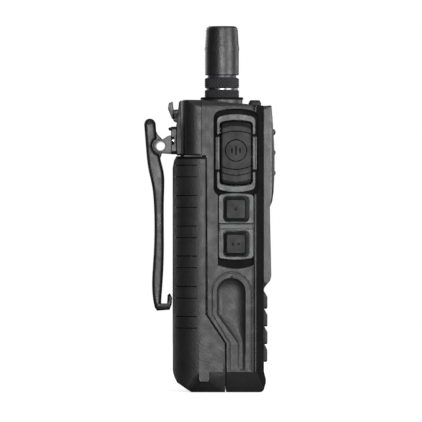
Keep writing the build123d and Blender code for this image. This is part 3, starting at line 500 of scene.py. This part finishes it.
# ---------------------------------------------------------------- casings
def hollow_scoop(bm, shape):
    """Replace the flat-floored thumb scoop by a smooth hollow."""
    bm.faces.layers.int.new("patch")

    def on_floor(face):
        c = face.calc_center_median()
        return face.normal.x < -0.99 and abs(c.x - SCOOP_FLOOR) < 2e-4 and c.z < SCOOP_TOP

    def outside(face):
        c, n = face.calc_center_median(), face.normal
        return n.x < -0.999 and c.x < -0.0299 or n.z < -0.2 and n.x < -0.8 and c.z < 0.0086

    found = [max(filter(on_floor, bm.faces), key=lambda f: f.calc_area())]
    for face in found:                # the list grows until the walk meets the rim
        for other in (f for e in face.edges for f in e.link_faces):
            if other not in found and not outside(other):
                found.append(other)
    rim = rim_of(found)
    bmesh.ops.delete(bm, geom=found, context="FACES_KEEP_BOUNDARY")
    patch = bmesh.ops.contextual_create(bm, geom=rim)["faces"][0]
    if patch.normal.x > 0:
        patch.normal_flip()
    line = edge_lines(patch)
    verts = sliced(bm, patch, SCOOP_GRID)
    low = min(v.co.z for v in verts)
    for vert in verts:
        near = min(depth_inside(vert.co, line) / shape.scoop_reach, 1.0)
        fade = 0.45 + 0.55 * min((vert.co.z - low) / 0.022, 1.0)
        vert.co.x += shape.scoop_depth * fade * math.sqrt(max(0.0, 1 - (1 - near) ** 2))


def cut_across(bm, height):
    """Cut every face that crosses a height."""
    bmesh.ops.bisect_plane(bm, geom=bm.verts[:] + bm.edges[:] + bm.faces[:], plane_co=(0, 0, height),
                           plane_no=(0, 0, 1), dist=1e-6)


def paint_gaps(bm, *tests, index=2):
    """Give the faces that a test picks the black of a gap or of painted shade, or another finish."""
    for face in bm.faces:
        centre = face.calc_center_median()
        if any(test(centre, face.normal) for test in tests):
            face.material_index = index


class RADIO_OT_casings(bpy.types.Operator):
    """Front casing, front bezel and die-cast rear chassis, with rounded edges"""

    bl_idname = "radio.casings"
    bl_label = "Casings"

    def execute(self, context):
        shape = context.scene.radio_shape
        bm = merged_copy("front_shell")
        bm.normal_update()
        hollow_scoop(bm, shape)
        pocket_low, pocket_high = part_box("side_button_panel")[0].z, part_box("ptt_frame")[1].z

        def in_pocket(c, n):
            deep = SIDE - 0.0002 > -c.x > SIDE - 0.0045
            return deep and pocket_low - 0.002 < c.z < pocket_high + 0.003 and -0.0155 < c.y < 0.004

        def on_seam(c):
            return c.z > SHOULDER and c.y > 0.0060

        def chamfer_strip(c, n):
            return n.y < -0.4 and abs(n.x) > 0.6 and abs(c.x) > 0.026

        def front_band(c, n):
            return n.y < -0.9 and c.y > -0.0185 and abs(c.x) > 0.0222

        # Painted shade: the pocket floors round the side controls, the chamfer strips and the front-facing
        # band beside the bezel take the black of a gap.
        paint_gaps(bm, in_pocket, chamfer_strip, front_band)
        # Painted shade: the inward-leaning foot below FOOT_TAPER takes the darker foot finish.
        paint_gaps(bm, lambda c, n: c.z < FOOT_TAPER and abs(n.x) > 0.5 and n.z < -0.1, index=3)
        round_edges(bm, shape.edge, where=lambda c: not on_seam(c) and (
            abs(c.x) > 0.0279 or c.y < -0.0165 or c.z > 0.1195 or c.z < 0.0005))
        # Painted shade on the casing's flat sides, darker towards the front seam.
        darken_sides(finish_pair("casing")[0], SIDE - 0.0003)
        piece("front_casing", bm, finish_pair("casing") + [gap_black(), finish_pair("foot")[0]],
              "shell", "front_shell")

        bm = rounded("front_bezel", 1.4 * shape.edge, segments=3, where=lambda c: c.y < -0.0178)
        piece("bezel", bm, finish_pair("bezel"), "trim", "front_bezel")

        bm = rounded("rear_chassis", 1.2 * shape.edge, where=lambda c: c.z > 0.0985 and c.y > 0.0092 and (
            c.z > 0.1225 or c.y > 0.0165 or abs(c.x) > 0.0275))
        piece("chassis", bm, finish_pair("cast"), "cast_case", "rear_chassis")
        self.add_gaskets()
        return {"FINISHED"}

    def add_gaskets(self):
        """Thin black rubber strips on the chassis that close the gap to the battery from the side: a dark
        sheet standing in for the shade inside the seam.
        """
        bm = bmesh.new()
        for start in GASKET_STARTS:
            for line, depth in ((PACK_SEAM, 0.00036), (CHASSIS_SEAM, 0.00018)):
                verts = [bm.verts.new((start, y + lift, z))
                         for lift, run in ((0, line), (depth, line[::-1])) for y, z in run]
                last = len(verts) - 1
                faces = [bm.faces.new((verts[i], verts[i + 1], verts[last - 1 - i], verts[last - i]))
                         for i in range(len(line) - 1)]
                made = bmesh.ops.extrude_face_region(bm, geom=faces)
                bmesh.ops.translate(bm, vec=(GASKET_WIDTH, 0, 0), verts=verts_in(made["geom"]))
        bmesh.ops.recalc_face_normals(bm, faces=bm.faces)
        piece("pack_gaskets", bm, finish_pair("seal"), "seal_rubber", body=NODES["rear_chassis"]["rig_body"])


class RADIO_OT_grille(bpy.types.Operator):
    """Speaker grille with its slots and three ribs"""

    bl_idname = "radio.grille"
    bl_label = "Speaker grille"

    def execute(self, context):
        bm = rounded("speaker_grille", 0.6 * context.scene.radio_shape.edge, sharp=40)
        piece("grille", bm, finish_pair("bezel"), "trim", "speaker_grille")
        return {"FINISHED"}


class RADIO_OT_keypad(bpy.types.Operator):
    """Twelve rubber keys with their figures"""

    bl_idname = "radio.keypad"
    bl_label = "Keypad"

    def execute(self, context):
        shape = context.scene.radio_shape
        figures = {f"key_{n}": str(n) for n in range(10)} | {"key_star": "*", "key_hash": "#"}
        for node, figure in figures.items():
            low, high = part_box(node)
            bm = rounded(node, shape.key_edge, segments=3, where=lambda c: c.y < low.y + 0.0022)
            middle = Vector(((low.x + high.x) / 2, low.y - 0.00001, (low.z + high.z) / 2 - 0.0006))
            if figure == "*":
                middle.z -= 0.0007
            upright_text(bm, figure, 0.0036, 0.00003, middle, 2)
            piece(node + "_cap", bm, finish_pair("rubber") + [printed()], "button_rubber", node)
        return {"FINISHED"}


# ---------------------------------------------------------------- side controls
class RADIO_OT_talk_button(bpy.types.Operator):
    """Talk button: raised frame, and a pillow-shaped button with grooves and a three-bar symbol"""

    bl_idname = "radio.talk_button"
    bl_label = "Talk button"

    def execute(self, context):
        shape = context.scene.radio_shape
        bm = rounded("ptt_frame", 0.9 * shape.edge, segments=3, where=lambda c: c.x < -0.0302)
        low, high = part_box("ptt_frame")
        middle, notch = (low.z + high.z) / 2, 0.0074
        # Painted shade: the notch lines and the frame's inner walls take the black of a gap.
        paint_gaps(bm, lambda c, n: abs(abs(c.z - middle) - notch) < 0.00045,
                   lambda c, n: c.x > -0.0296)
        piece("talk_frame", bm, finish_pair("bezel") + [gap_black()], "trim", "ptt_frame")

        low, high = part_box("ptt_button")
        bm = bmesh.new()
        bm.faces.layers.int.new("patch")
        centre = Vector((0, (low.y + high.y) / 2, (low.z + high.z) / 2))
        half_y, half_z = (high.y - low.y) / 2, (high.z - low.z) / 2
        rounded_plate(bm, 0.0013, lambda u, v: (low.x, centre.y + u * half_y, centre.z + v * half_z))
        cap = max(bm.faces, key=lambda f: f.calc_area())
        if cap.normal.x > 0:
            cap.normal_flip()
        rim = edge_lines(cap)
        bend, radius, crown, sunk = 0.0009, 0.0011, 0.00035, 0.00012
        for vert in sliced(bm, cap, CAP_GRID):
            across, along = (vert.co.y - centre.y) / half_y, (vert.co.z - centre.z) / half_z
            near = min(depth_inside(vert.co, rim) / radius, 1.0)
            rise = radius * math.sqrt(max(0.0, 1 - (1 - near) ** 2)) + crown * (1 - across ** 2)
            vert.co.x = low.x + sunk + radius + crown - rise
            vert.co.z += bend * along ** 5 * (1 - across ** 2 - 0.9)

        groove, bow, ring_place, ring_radius = 0.00022, 0.0015, 0.0011, 0.0045

        def beside_centre(face):
            """Place beside the button's centre, and how far the arcs bow there."""
            c = face.calc_center_median()
            y, z = c.y - centre.y, c.z - centre.z
            return y, z, bow * (1 - (y / half_y) ** 2)

        def on_line(face):
            y, z, lift = beside_centre(face)
            ring = abs(math.hypot(y, z - ring_place) - ring_radius) < groove
            return (ring or abs(z - 0.0078 - lift) < groove or abs(z + 0.0053 + lift) < groove
                    or abs(z + 0.0078 + lift) < 0.00019)

        grooves = set(filter(on_line, bm.faces))
        for vert in {v for f in grooves for v in f.verts if grooves.issuperset(v.link_faces)}:
            vert.co.x += groove
        for face in bm.faces:
            # Painted shade: the bands at the two ends take the dark shade finish, and the sunk grooves take
            # the black of a gap.
            y, z, lift = beside_centre(face)
            if z - lift > 0.0099 or z + lift < -0.0105:
                face.material_index = 3
            elif face in grooves:
                face.material_index = 2
        walls = bmesh.ops.extrude_edge_only(bm, edges=[e for e in bm.edges if len(e.link_faces) == 1])
        for vert in verts_in(walls["geom"]):
            vert.co.x = -0.0288
        bmesh.ops.recalc_face_normals(bm, faces=bm.faces)
        for place, height in ((-0.0017, 0.0020), (0.0, 0.0040), (0.0017, 0.0020)):
            bar = centre + Vector((low.x + 0.00011, place, ring_place))
            add_bar(bm, bar, (0.0002, 0.0006, height), 2)
        piece("talk_button", bm, finish_pair("rubber") + [gap_black(), finish_pair("shade")[0]],
              "button_rubber", "ptt_button")
        return {"FINISHED"}


class RADIO_OT_side_buttons(bpy.types.Operator):
    """Side panel and its two square buttons, marked by one dot and two dots"""

    bl_idname = "radio.side_buttons"
    bl_label = "Side buttons"

    def execute(self, context):
        shape = context.scene.radio_shape
        bm = merged_copy("side_button_panel")
        for offset in (-shape.seam_line, shape.seam_line):
            cut_across(bm, PANEL_BAR + offset / 2)
        paint_gaps(bm, lambda c, n: n.x < -0.9 and c.x < PANEL_FACE
                   and abs(c.z - PANEL_BAR) < shape.seam_line / 2)
        round_edges(bm, 0.9 * shape.edge, segments=3, where=lambda c: c.x < PANEL_FACE)
        piece("side_panel", bm, finish_pair("bezel") + [gap_black()], "trim", "side_button_panel")
        for node, dots in (("side_button_upper", (0.0,)), ("side_button_lower", (-0.0012, 0.0012))):
            low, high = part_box(node)
            # Painted shade: the rounded edges take the black of a gap, as a dark ring round each button.
            bm = rounded(node, 0.0003, segments=3, sharp=20, where=lambda c: c.x < -0.0303)
            for offset in dots:
                place = (low.x + 0.0004, (low.y + high.y) / 2 + offset, (low.z + high.z) / 2)
                bmesh.ops.create_uvsphere(bm, u_segments=20, v_segments=10, radius=0.00075,
                                          matrix=Matrix.Translation(place))
            piece(node.replace("side_button", "square_button"), bm,
                  [finish_pair("rubber")[0], gap_black()], "button_rubber", node)
        return {"FINISHED"}


class RADIO_OT_jack_cover(bpy.types.Operator):
    """Hinged rubber cover of the accessory jacks"""

    bl_idname = "radio.jack_cover"
    bl_label = "Jack cover"

    def execute(self, context):
        edge = context.scene.radio_shape.edge
        bm = rounded("jack_cover", 1.2 * edge, segments=3, where=lambda c: c.x > 0.0299)
        piece("jack_flap", bm, finish_pair("rubber"), "button_rubber", "jack_cover")
        return {"FINISHED"}


# ---------------------------------------------------------------- top controls and antenna
def middle_axis(node):
    low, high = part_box(node)
    return Vector(((low.x + high.x) / 2, (low.y + high.y) / 2, 0))


class RADIO_OT_top_controls(bpy.types.Operator):
    """Volume knob with grip ribs, and the button on the top front edge"""

    bl_idname = "radio.top_controls"
    bl_label = "Top controls"

    def execute(self, context):
        shape = context.scene.radio_shape
        low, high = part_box("volume_knob")
        axis, radius = middle_axis("volume_knob"), (high.x - low.x) / 2
        profile = [(0.0, low.z + 0.0022), (0.0044, low.z + 0.0022), (0.0044, low.z),
                   (radius - 0.0004, low.z), (radius, low.z + 0.0004), (radius, low.z + 0.0018),
                   (radius - 0.0007, low.z + 0.0030), (radius - 0.0010, high.z - 0.0012),
                   (radius - 0.0016, high.z - 0.0003), (radius - 0.0026, high.z), (0.0, high.z)]
        bm = turned(axis, profile, steps=shape.grip_ribs * 4)
        bm.normal_update()

        def on_rib(face):
            c = face.calc_center_median() - axis
            turn = int((math.atan2(c.y, c.x) / (2 * math.pi) % 1.0) * shape.grip_ribs * 4)
            return low.z + 0.0031 < c.z < high.z - 0.0013 and abs(face.normal.z) < 0.3 and turn % 4 < 2

        picked = list(filter(on_rib, bm.faces))
        made = bmesh.ops.inset_region(bm, faces=picked, thickness=0.0001, depth=0.0005,
                                      use_even_offset=True)
        # The rib walls take the lighter edge finish: part wear, part painted highlight.
        for face in made["faces"]:
            face.material_index = 1
        add_bar(bm, axis + Vector((0, -0.0028, high.z)), (0.0007, 0.0036, 0.0001), 2)
        piece("knob", bm, finish_pair("rubber") + [printed()], "button_rubber", "volume_knob")

        bm = rounded("alarm_button", 0.7 * shape.edge, sharp=25, where=lambda c: c.z > 0.1214)
        piece("top_button", bm, finish_pair("rubber"), "button_rubber", "alarm_button")
        bm = merged_copy("alarm_base")
        low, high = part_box("alarm_base")
        middle, reach = (low + high) / 2, (high - low) / 2
        rounded_plate(bm, 0.0015, lambda u, v: (u * high.x, middle.y + v * reach.y, high.z))
        lids = [f for f in bm.faces
                if len(f.verts) > 20 and abs(f.calc_center_median().z - high.z) < 1e-6]
        lid = max(lids, key=lambda f: f.calc_area())
        walls = bmesh.ops.inset_individual(bm, faces=[lid], thickness=0.0002, use_even_offset=True)
        bmesh.ops.delete(bm, geom=[lid], context="FACES_ONLY")
        raised = bmesh.ops.extrude_face_region(bm, geom=walls["faces"])["geom"]
        bmesh.ops.translate(bm, vec=(0, 0, 0.0009), verts=verts_in(raised))
        bmesh.ops.recalc_face_normals(bm, faces=bm.faces)
        piece("top_button_ring", bm, finish_pair("rubber"), "trim", "alarm_base")
        return {"FINISHED"}


class RADIO_OT_antenna(bpy.types.Operator):
    """Stub antenna: ribbed sheath, knurled collar, contact ring, knurled foot and flange"""

    bl_idname = "radio.antenna"
    bl_label = "Antenna"

    def knurled(self, shape, axis, below, band, above):
        """Turned ring whose band, (radius, low, high), is cut into raised diamonds."""
        radius, low, high = band
        rows = 2 * max(1, round((high - low) / (4 * math.pi * radius / shape.knurl_count)))
        levels = [(radius, low + (high - low) * row / rows) for row in range(rows + 1)]
        bm = turned(axis, below + levels + above, shape.knurl_count)
        heights = {round(z, 6): row for row, (_, z) in enumerate(levels)}

        def row_of(vert):
            on_band = abs((vert.co - axis).xy.length - radius) < 2e-5
            return heights.get(round(vert.co.z, 6)) if on_band else None

        rows_of = {v: row for v in bm.verts if (row := row_of(v)) is not None}
        low_points = set()
        for vert, row in rows_of.items():
            turn = math.atan2(vert.co.y - axis.y, vert.co.x - axis.x) / (2 * math.pi)
            if (round(turn * shape.knurl_count) + row) % 2:
                low_points.add(vert)
        quads = [f for f in bm.faces if len(f.verts) == 4 and all(v in rows_of for v in f.verts)]
        for face in quads:
            bmesh.utils.face_split(face, *[v for v in face.verts if v in low_points])
        for vert in low_points:
            reach = (vert.co - axis).xy.normalized() * shape.knurl_depth
            vert.co.x -= reach.x
            vert.co.y -= reach.y
        return bm

    def execute(self, context):
        finish, shape = context.scene.radio_finish, context.scene.radio_shape
        axis = middle_axis("antenna_sheath")

        low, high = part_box("antenna_sheath")
        radius = (high.x - low.x) / 2
        base, top = low.z, high.z
        body = radius - 0.0002
        profile = [(0.0, base), (body - 0.0003, base), (body, base + 0.0003), (body, base + 0.0101),
                   (radius, base + 0.0109), (body - 0.0001, base + 0.0129), (0.0067, base + 0.0185),
                   (0.0065, top - 0.0008), (0.0060, top - 0.0003), (0.0054, top), (0.0, top)]
        bm = turned(axis, profile)
        sweep = math.radians(52)
        for side in (-1, 1):
            for rib in range(8):
                z = base + 0.0108 + rib * 0.00115
                reach = radius - 0.00012 - 0.00006 * rib
                verts = [bm.verts.new((axis.x, axis.y + side * r, h)) for r, h in
                         ((reach - 0.0004, z - 0.0004), (reach, z - 0.0002), (reach, z + 0.0002),
                          (reach - 0.0004, z + 0.0004))]
                edges = [bm.edges.new(pair) for pair in zip(verts, verts[1:] + verts[:1])]
                bmesh.ops.rotate(bm, verts=verts, cent=axis, matrix=Matrix.Rotation(-sweep / 2, 3, "Z"))
                swept = bmesh.ops.spin(bm, geom=verts + edges, cent=axis, axis=(0, 0, 1),
                                       angle=sweep, steps=10)
                ends = [e for e in swept["geom_last"] if isinstance(e, bmesh.types.BMEdge)]
                bmesh.ops.edgeloop_fill(bm, edges=ends)
                bmesh.ops.edgeloop_fill(bm, edges=edges)
        bmesh.ops.recalc_face_normals(bm, faces=bm.faces)
        piece("sheath", bm, finish_pair("sheath"), "seal_rubber", "antenna_sheath")

        low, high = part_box("antenna_collar")
        radius = (high.x - low.x) / 2
        shoulder = high.z - 0.0010
        bm = self.knurled(shape, axis, [(0.0020, low.z), (radius - 0.0006, low.z)],
                          (radius, low.z + 0.0002, shoulder - 0.0006),
                          [(radius - 0.0005, shoulder - 0.0003), (0.0064, shoulder),
                           (0.0060, shoulder + 0.00002), (0.0060, high.z), (0.0020, high.z),
                           (0.0020, low.z)])
        piece("collar", bm, finish_pair("black_metal"), "black_metal", "antenna_collar", crease=12,
              weighted=False)

        low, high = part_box("antenna_base_ring")
        bm = self.knurled(shape, axis, [(0.0034, low.z), (radius - 0.0003, low.z)],
                          (radius, low.z + 0.0002, high.z - 0.0002),
                          [(radius - 0.0003, high.z), (0.0034, high.z), (0.0034, low.z)])
        piece("foot_ring", bm, finish_pair("black_metal"), "black_metal", "antenna_base_ring", crease=12,
              weighted=False)

        low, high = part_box("antenna_contact_ring")
        outer, top, edge = (high.x - low.x) / 2, high.z - 0.0001, 0.0001
        bm = turned(axis, [(0.0035, low.z), (outer - edge, low.z), (outer, low.z + edge),
                           (outer, top - edge), (outer - edge, top), (0.0035, top), (0.0035, low.z)])
        plated = brushed("plated_ring", [c * 0.3 for c in finish.bright_metal], 0.35)
        piece("contact_ring", bm, [plated], "bright_metal", "antenna_contact_ring")

        low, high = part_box("antenna_flange")
        radius = (high.x - low.x) / 2
        bm = turned(axis, [(0.0034, low.z), (0.0087, low.z), (0.0087, high.z - 0.0011),
                           (radius, high.z - 0.0009), (radius, high.z - 0.0003),
                           (radius - 0.0003, high.z), (0.0034, high.z), (0.0034, low.z)])
        # Painted shade: the top of the flange, under the knurled foot ring, takes the black of a gap.
        paint_gaps(bm, lambda c, n: c.z > high.z - 0.0010)
        piece("flange", bm, finish_pair("bezel") + [gap_black()], "trim", "antenna_flange")
        return {"FINISHED"}


# ---------------------------------------------------------------- battery, clip and latch
class RADIO_OT_battery(bpy.types.Operator):
    """Battery housing, with painted shade in its grip grooves and along its top edge"""

    bl_idname = "radio.battery"
    bl_label = "Battery"

    def execute(self, context):
        shape = context.scene.radio_shape
        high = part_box("battery_housing")[1]
        bm = bmesh.new()
        bm.from_mesh(NODES["battery_housing"].data)
        bmesh.ops.remove_doubles(bm, verts=bm.verts, dist=1e-6)
        corner = Vector((SIDE - shape.pack_corner, high.y - shape.pack_corner))
        # Painted shade: the faces down in the grip grooves take the black of a gap.
        for face in bm.faces:
            reach = [(Vector((abs(v.co.x), v.co.y)) - corner).length for v in face.verts]
            height = face.calc_center_median().z
            groove = 0.0002 < shape.pack_corner - max(reach) and shape.pack_corner - min(reach) < 0.0006
            face.material_index = int(groove and GROOVE_HEIGHTS[0] < height < GROOVE_HEIGHTS[1])
        # Painted shade: a band along the battery's rounded top edge takes the black of a gap.
        line = high.z - 0.0013
        cut_across(bm, line)
        paint_gaps(bm, lambda c, n: c.z > line and abs(c.x) > 0.024, index=1)
        case = piece("battery_case", bm, [finish_pair("battery")[0], gap_black()], "shell",
                     "battery_housing", weighted=False)
        self.even_corners(case.data, corner, shape.pack_corner)
        return {"FINISHED"}

    def even_corners(self, mesh, corner, radius):
        """Shade the rounded rear corners as true cylinders."""
        normals = []
        for loop in mesh.loops:
            place = mesh.vertices[loop.vertex_index].co
            out = Vector((abs(place.x), place.y)) - corner
            out = out.normalized() if abs(out.length - radius) < 3e-5 and min(out) > -1e-5 else None
            normals.append(Vector((math.copysign(out.x, place.x), out.y, 0)) if out else None)
        for polygon in mesh.polygons:
            for index in polygon.loop_indices:
                if normals[index] is None or normals[index].dot(polygon.normal) < 0.95:
                    flat = max(abs(part) for part in polygon.normal) > 0.9995
                    normals[index] = (polygon.normal if flat else mesh.corner_normals[index].vector).copy()
        mesh.normals_split_custom_set(normals)


class RADIO_OT_belt_clip(bpy.types.Operator):
    """Belt clip lever and its bracket, and the battery latch tab"""

    bl_idname = "radio.belt_clip"
    bl_label = "Belt clip"

    def execute(self, context):
        shape = context.scene.radio_shape
        # Painted shade: the lever's rounded edges take the darker cast finish, as dark outlines.
        bm = rounded("clip_lever", shape.lever_edge, segments=4, sharp=45,
                     where=lambda c: abs(c.x) > 0.0088)
        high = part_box("clip_lever")[1]
        for vert in bm.verts:
            vert.co.y = min(vert.co.y, high.y)
        round_edges(bm, 0.0004, sharp=45, where=lambda c: 0.0045 < abs(c.x) < 0.0078)
        piece("clip_arm", bm, [finish_pair("clip")[0], finish_pair("cast")[0]], "shell", "clip_lever")
        bm = rounded("clip_bracket", 0.0003, sharp=45, where=lambda c: c.y > 0.0206)
        paint_gaps(bm, lambda c, n: c.y < 0.0229)
        piece("clip_base", bm, finish_pair("clip") + [finish_pair("cast")[0]], "cast_case", "clip_bracket")
        # Painted shade: the tab's rounded edges take the black of a gap.
        bm = rounded("battery_latch", 0.0003, sharp=35, where=lambda c: abs(c.x) > 0.0037)
        piece("latch_tab", bm, [finish_pair("bezel")[0], gap_black()], "nylon", "battery_latch")
        return {"FINISHED"}


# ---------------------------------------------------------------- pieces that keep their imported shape
class RADIO_OT_fitted_parts(bpy.types.Operator):
    """Finishes of the inner parts, screws, springs, pins, lens and display"""

    bl_idname = "radio.fitted_parts"
    bl_label = "Fitted parts"

    def execute(self, context):
        finish = context.scene.radio_finish
        plated = brushed("plated_steel", finish.bright_metal, 0.3, axis=0)
        blackened = brushed("blackened_steel", finish.black_metal, 0.38, axis=1)
        brass = brushed("brass_leaf", finish.brass, 0.3)
        board = grained("circuit_board", (0.012, 0.075, 0.035), 0.35, grain=0.0012, speckle=0.3)
        seal = finish_pair("seal")[0]
        nylon = grained("black_nylon", finish.cast, 0.5)
        finishes = {
            plated: ("volume_shaft", "volume_encoder", "clip_screws"),
            blackened: ("clip_pin", "clip_spring", "latch_spring", "chassis_screws", "speaker",
                        "microphone"),
            brass: ("antenna_core", "battery_contacts", "contact_springs"),
            board: ("main_board", "side_switches"),
            seal: ("latch_pin", "keypad_membrane", "antenna_seal"),
            nylon: ("antenna_socket", "jack_block", "contact_block"),
            finish_pair("battery")[0]: ("battery_lid",),
            grained("cell_wrap", (0.05, 0.09, 0.20), 0.35, grain=0.002, speckle=0.05): ("battery_cells",),
            display_glass("display_panel", finish.display): ("lcd_module",),
            clear("display_window", (0.85, 0.88, 0.88), 0.05, 0.9): ("lcd_window",),
            clear("status_light", (0.75, 0.35, 0.10), 0.12, 0.5): ("status_lens",),
        }
        for material, nodes in finishes.items():
            for node in nodes:
                mesh = NODES[node].data
                if len(mesh.materials) == 0:
                    mesh.materials.append(material)
                for slot in NODES[node].material_slots:
                    slot.material = material
        return {"FINISHED"}


# ---------------------------------------------------------------- studio
class RADIO_OT_stage(bpy.types.Operator):
    """Pale floor, pale surround, soft lights and the camera"""

    bl_idname = "radio.stage"
    bl_label = "Stage"

    def execute(self, context):
        scene, studio = context.scene, context.scene.radio_studio
        low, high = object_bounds()
        bm = bmesh.new()
        bmesh.ops.create_grid(bm, x_segments=1, y_segments=1, size=1.1,
                              matrix=Matrix.Translation((0, 0, low.z - 0.0002)))
        mesh = mesh_of("floor", bm)
        paper = grained("floor_paper", (0.86, 0.86, 0.86), 0.9, grain=0.004, depth=0.00001,
                        mottle=0.01, speckle=0.01, specular=0.1)
        shader = found_node(paper, "BsdfPrincipled")
        shader.inputs["Emission Color"].default_value = (1, 1, 1, 1)
        shader.inputs["Emission Strength"].default_value = studio.floor_glow
        mesh.materials.append(paper)
        floor = placed("floor", mesh)
        floor.visible_diffuse = floor.visible_glossy = False
        floor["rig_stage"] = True

        middle = (low + high) / 2
        for name, place, size, power in (
                ("side_light", (-0.95, -0.03, 0.13), (0.34, 0.40), studio.key_power),
                ("front_light", (-0.62, -0.78, 0.17), (0.5, 0.45), studio.front_power),
                ("front_fill", (0.60, -1.0, 0.30), (0.7, 0.7), studio.fill_power),
                ("back_fill", (0.75, 0.95, 0.40), (0.7, 0.7), 0.4 * studio.fill_power),
                ("top_light", (0.0, -0.10, 1.0), (0.8, 0.8), studio.top_power),
                ("back_light", (0.95, 0.45, 0.40), (0.7, 0.7), studio.back_power)):
            lamp = bpy.data.lights.new(name, "AREA")
            lamp.shape, lamp.size, lamp.size_y, lamp.energy = "RECTANGLE", size[0], size[1], power
            light = placed(name, lamp)
            light.location = place
            light.rotation_euler = (middle - Vector(place)).to_track_quat("-Z", "Y").to_euler()
            light.visible_camera = False

        world = bpy.data.worlds.new("room")
        scene.world = world
        world.use_nodes = True
        tree = world.node_tree
        tree.nodes.clear()
        out = add_node(tree, "OutputWorld", (400, 0))
        room = add_node(tree, "Background", (0, 100), Color=(1, 1, 1, 1), Strength=studio.surround)
        seen = add_node(tree, "Background", (0, -100), Color=(1, 1, 1, 1), Strength=1.0)
        which = add_node(tree, "LightPath", (0, 300))
        mix = add_node(tree, "MixShader", (200, 0))
        join(tree, (which.outputs["Is Camera Ray"], mix.inputs[0]), (room.outputs[0], mix.inputs[1]),
             (seen.outputs[0], mix.inputs[2]), (mix.outputs[0], out.inputs["Surface"]))
        scene.view_settings.view_transform = "Standard"

        lens = bpy.data.cameras.new("camera")
        near = studio.distance + low.x
        lens.sensor_width = 36.0
        lens.lens = lens.sensor_width * near / studio.field
        lens.clip_start, lens.clip_end = 0.01, 20.0
        camera = placed("camera", lens)
        aim = Vector((0.0, studio.aim_y, studio.aim_z))
        camera.location = aim - Vector((studio.distance, 0.0, 0.0))
        camera.rotation_euler = (math.pi / 2, 0.0, -math.pi / 2)
        scene.camera = camera
        return {"FINISHED"}


OPERATORS = (RADIO_OT_casings, RADIO_OT_grille, RADIO_OT_keypad, RADIO_OT_talk_button,
             RADIO_OT_side_buttons, RADIO_OT_jack_cover, RADIO_OT_top_controls, RADIO_OT_antenna,
             RADIO_OT_battery, RADIO_OT_belt_clip, RADIO_OT_fitted_parts, RADIO_OT_stage)


class RADIO_PT_panel(bpy.types.Panel):
    """Lists the radio's pieces and their settings"""

    bl_idname = "RADIO_PT_panel"
    bl_label = "Radio"
    bl_space_type = "VIEW_3D"
    bl_region_type = "UI"
    bl_category = "Radio"

    def draw(self, context):
        column = self.layout.column()
        for operator in OPERATORS:
            column.operator(operator.bl_idname)
        for group in (context.scene.radio_finish, context.scene.radio_shape, context.scene.radio_studio):
            box = self.layout.box()
            for name in group.__annotations__:
                box.prop(group, name)


GROUPS = {"radio_finish": RadioFinish, "radio_shape": RadioShape, "radio_studio": RadioStudio}


def register():
    for group in GROUPS.values():
        bpy.utils.register_class(group)
    for name, group in GROUPS.items():
        setattr(bpy.types.Scene, name, PointerProperty(type=group))
    for operator in OPERATORS:
        bpy.utils.register_class(operator)
    bpy.utils.register_class(RADIO_PT_panel)


def unregister():
    bpy.utils.unregister_class(RADIO_PT_panel)
    for operator in reversed(OPERATORS):
        bpy.utils.unregister_class(operator)
    for name, group in GROUPS.items():
        delattr(bpy.types.Scene, name)
        bpy.utils.unregister_class(group)


def main():
    register()
    for operator in OPERATORS:
        getattr(bpy.ops.radio, operator.bl_idname.split(".")[1])()


if __name__ == "__main__":
    main()
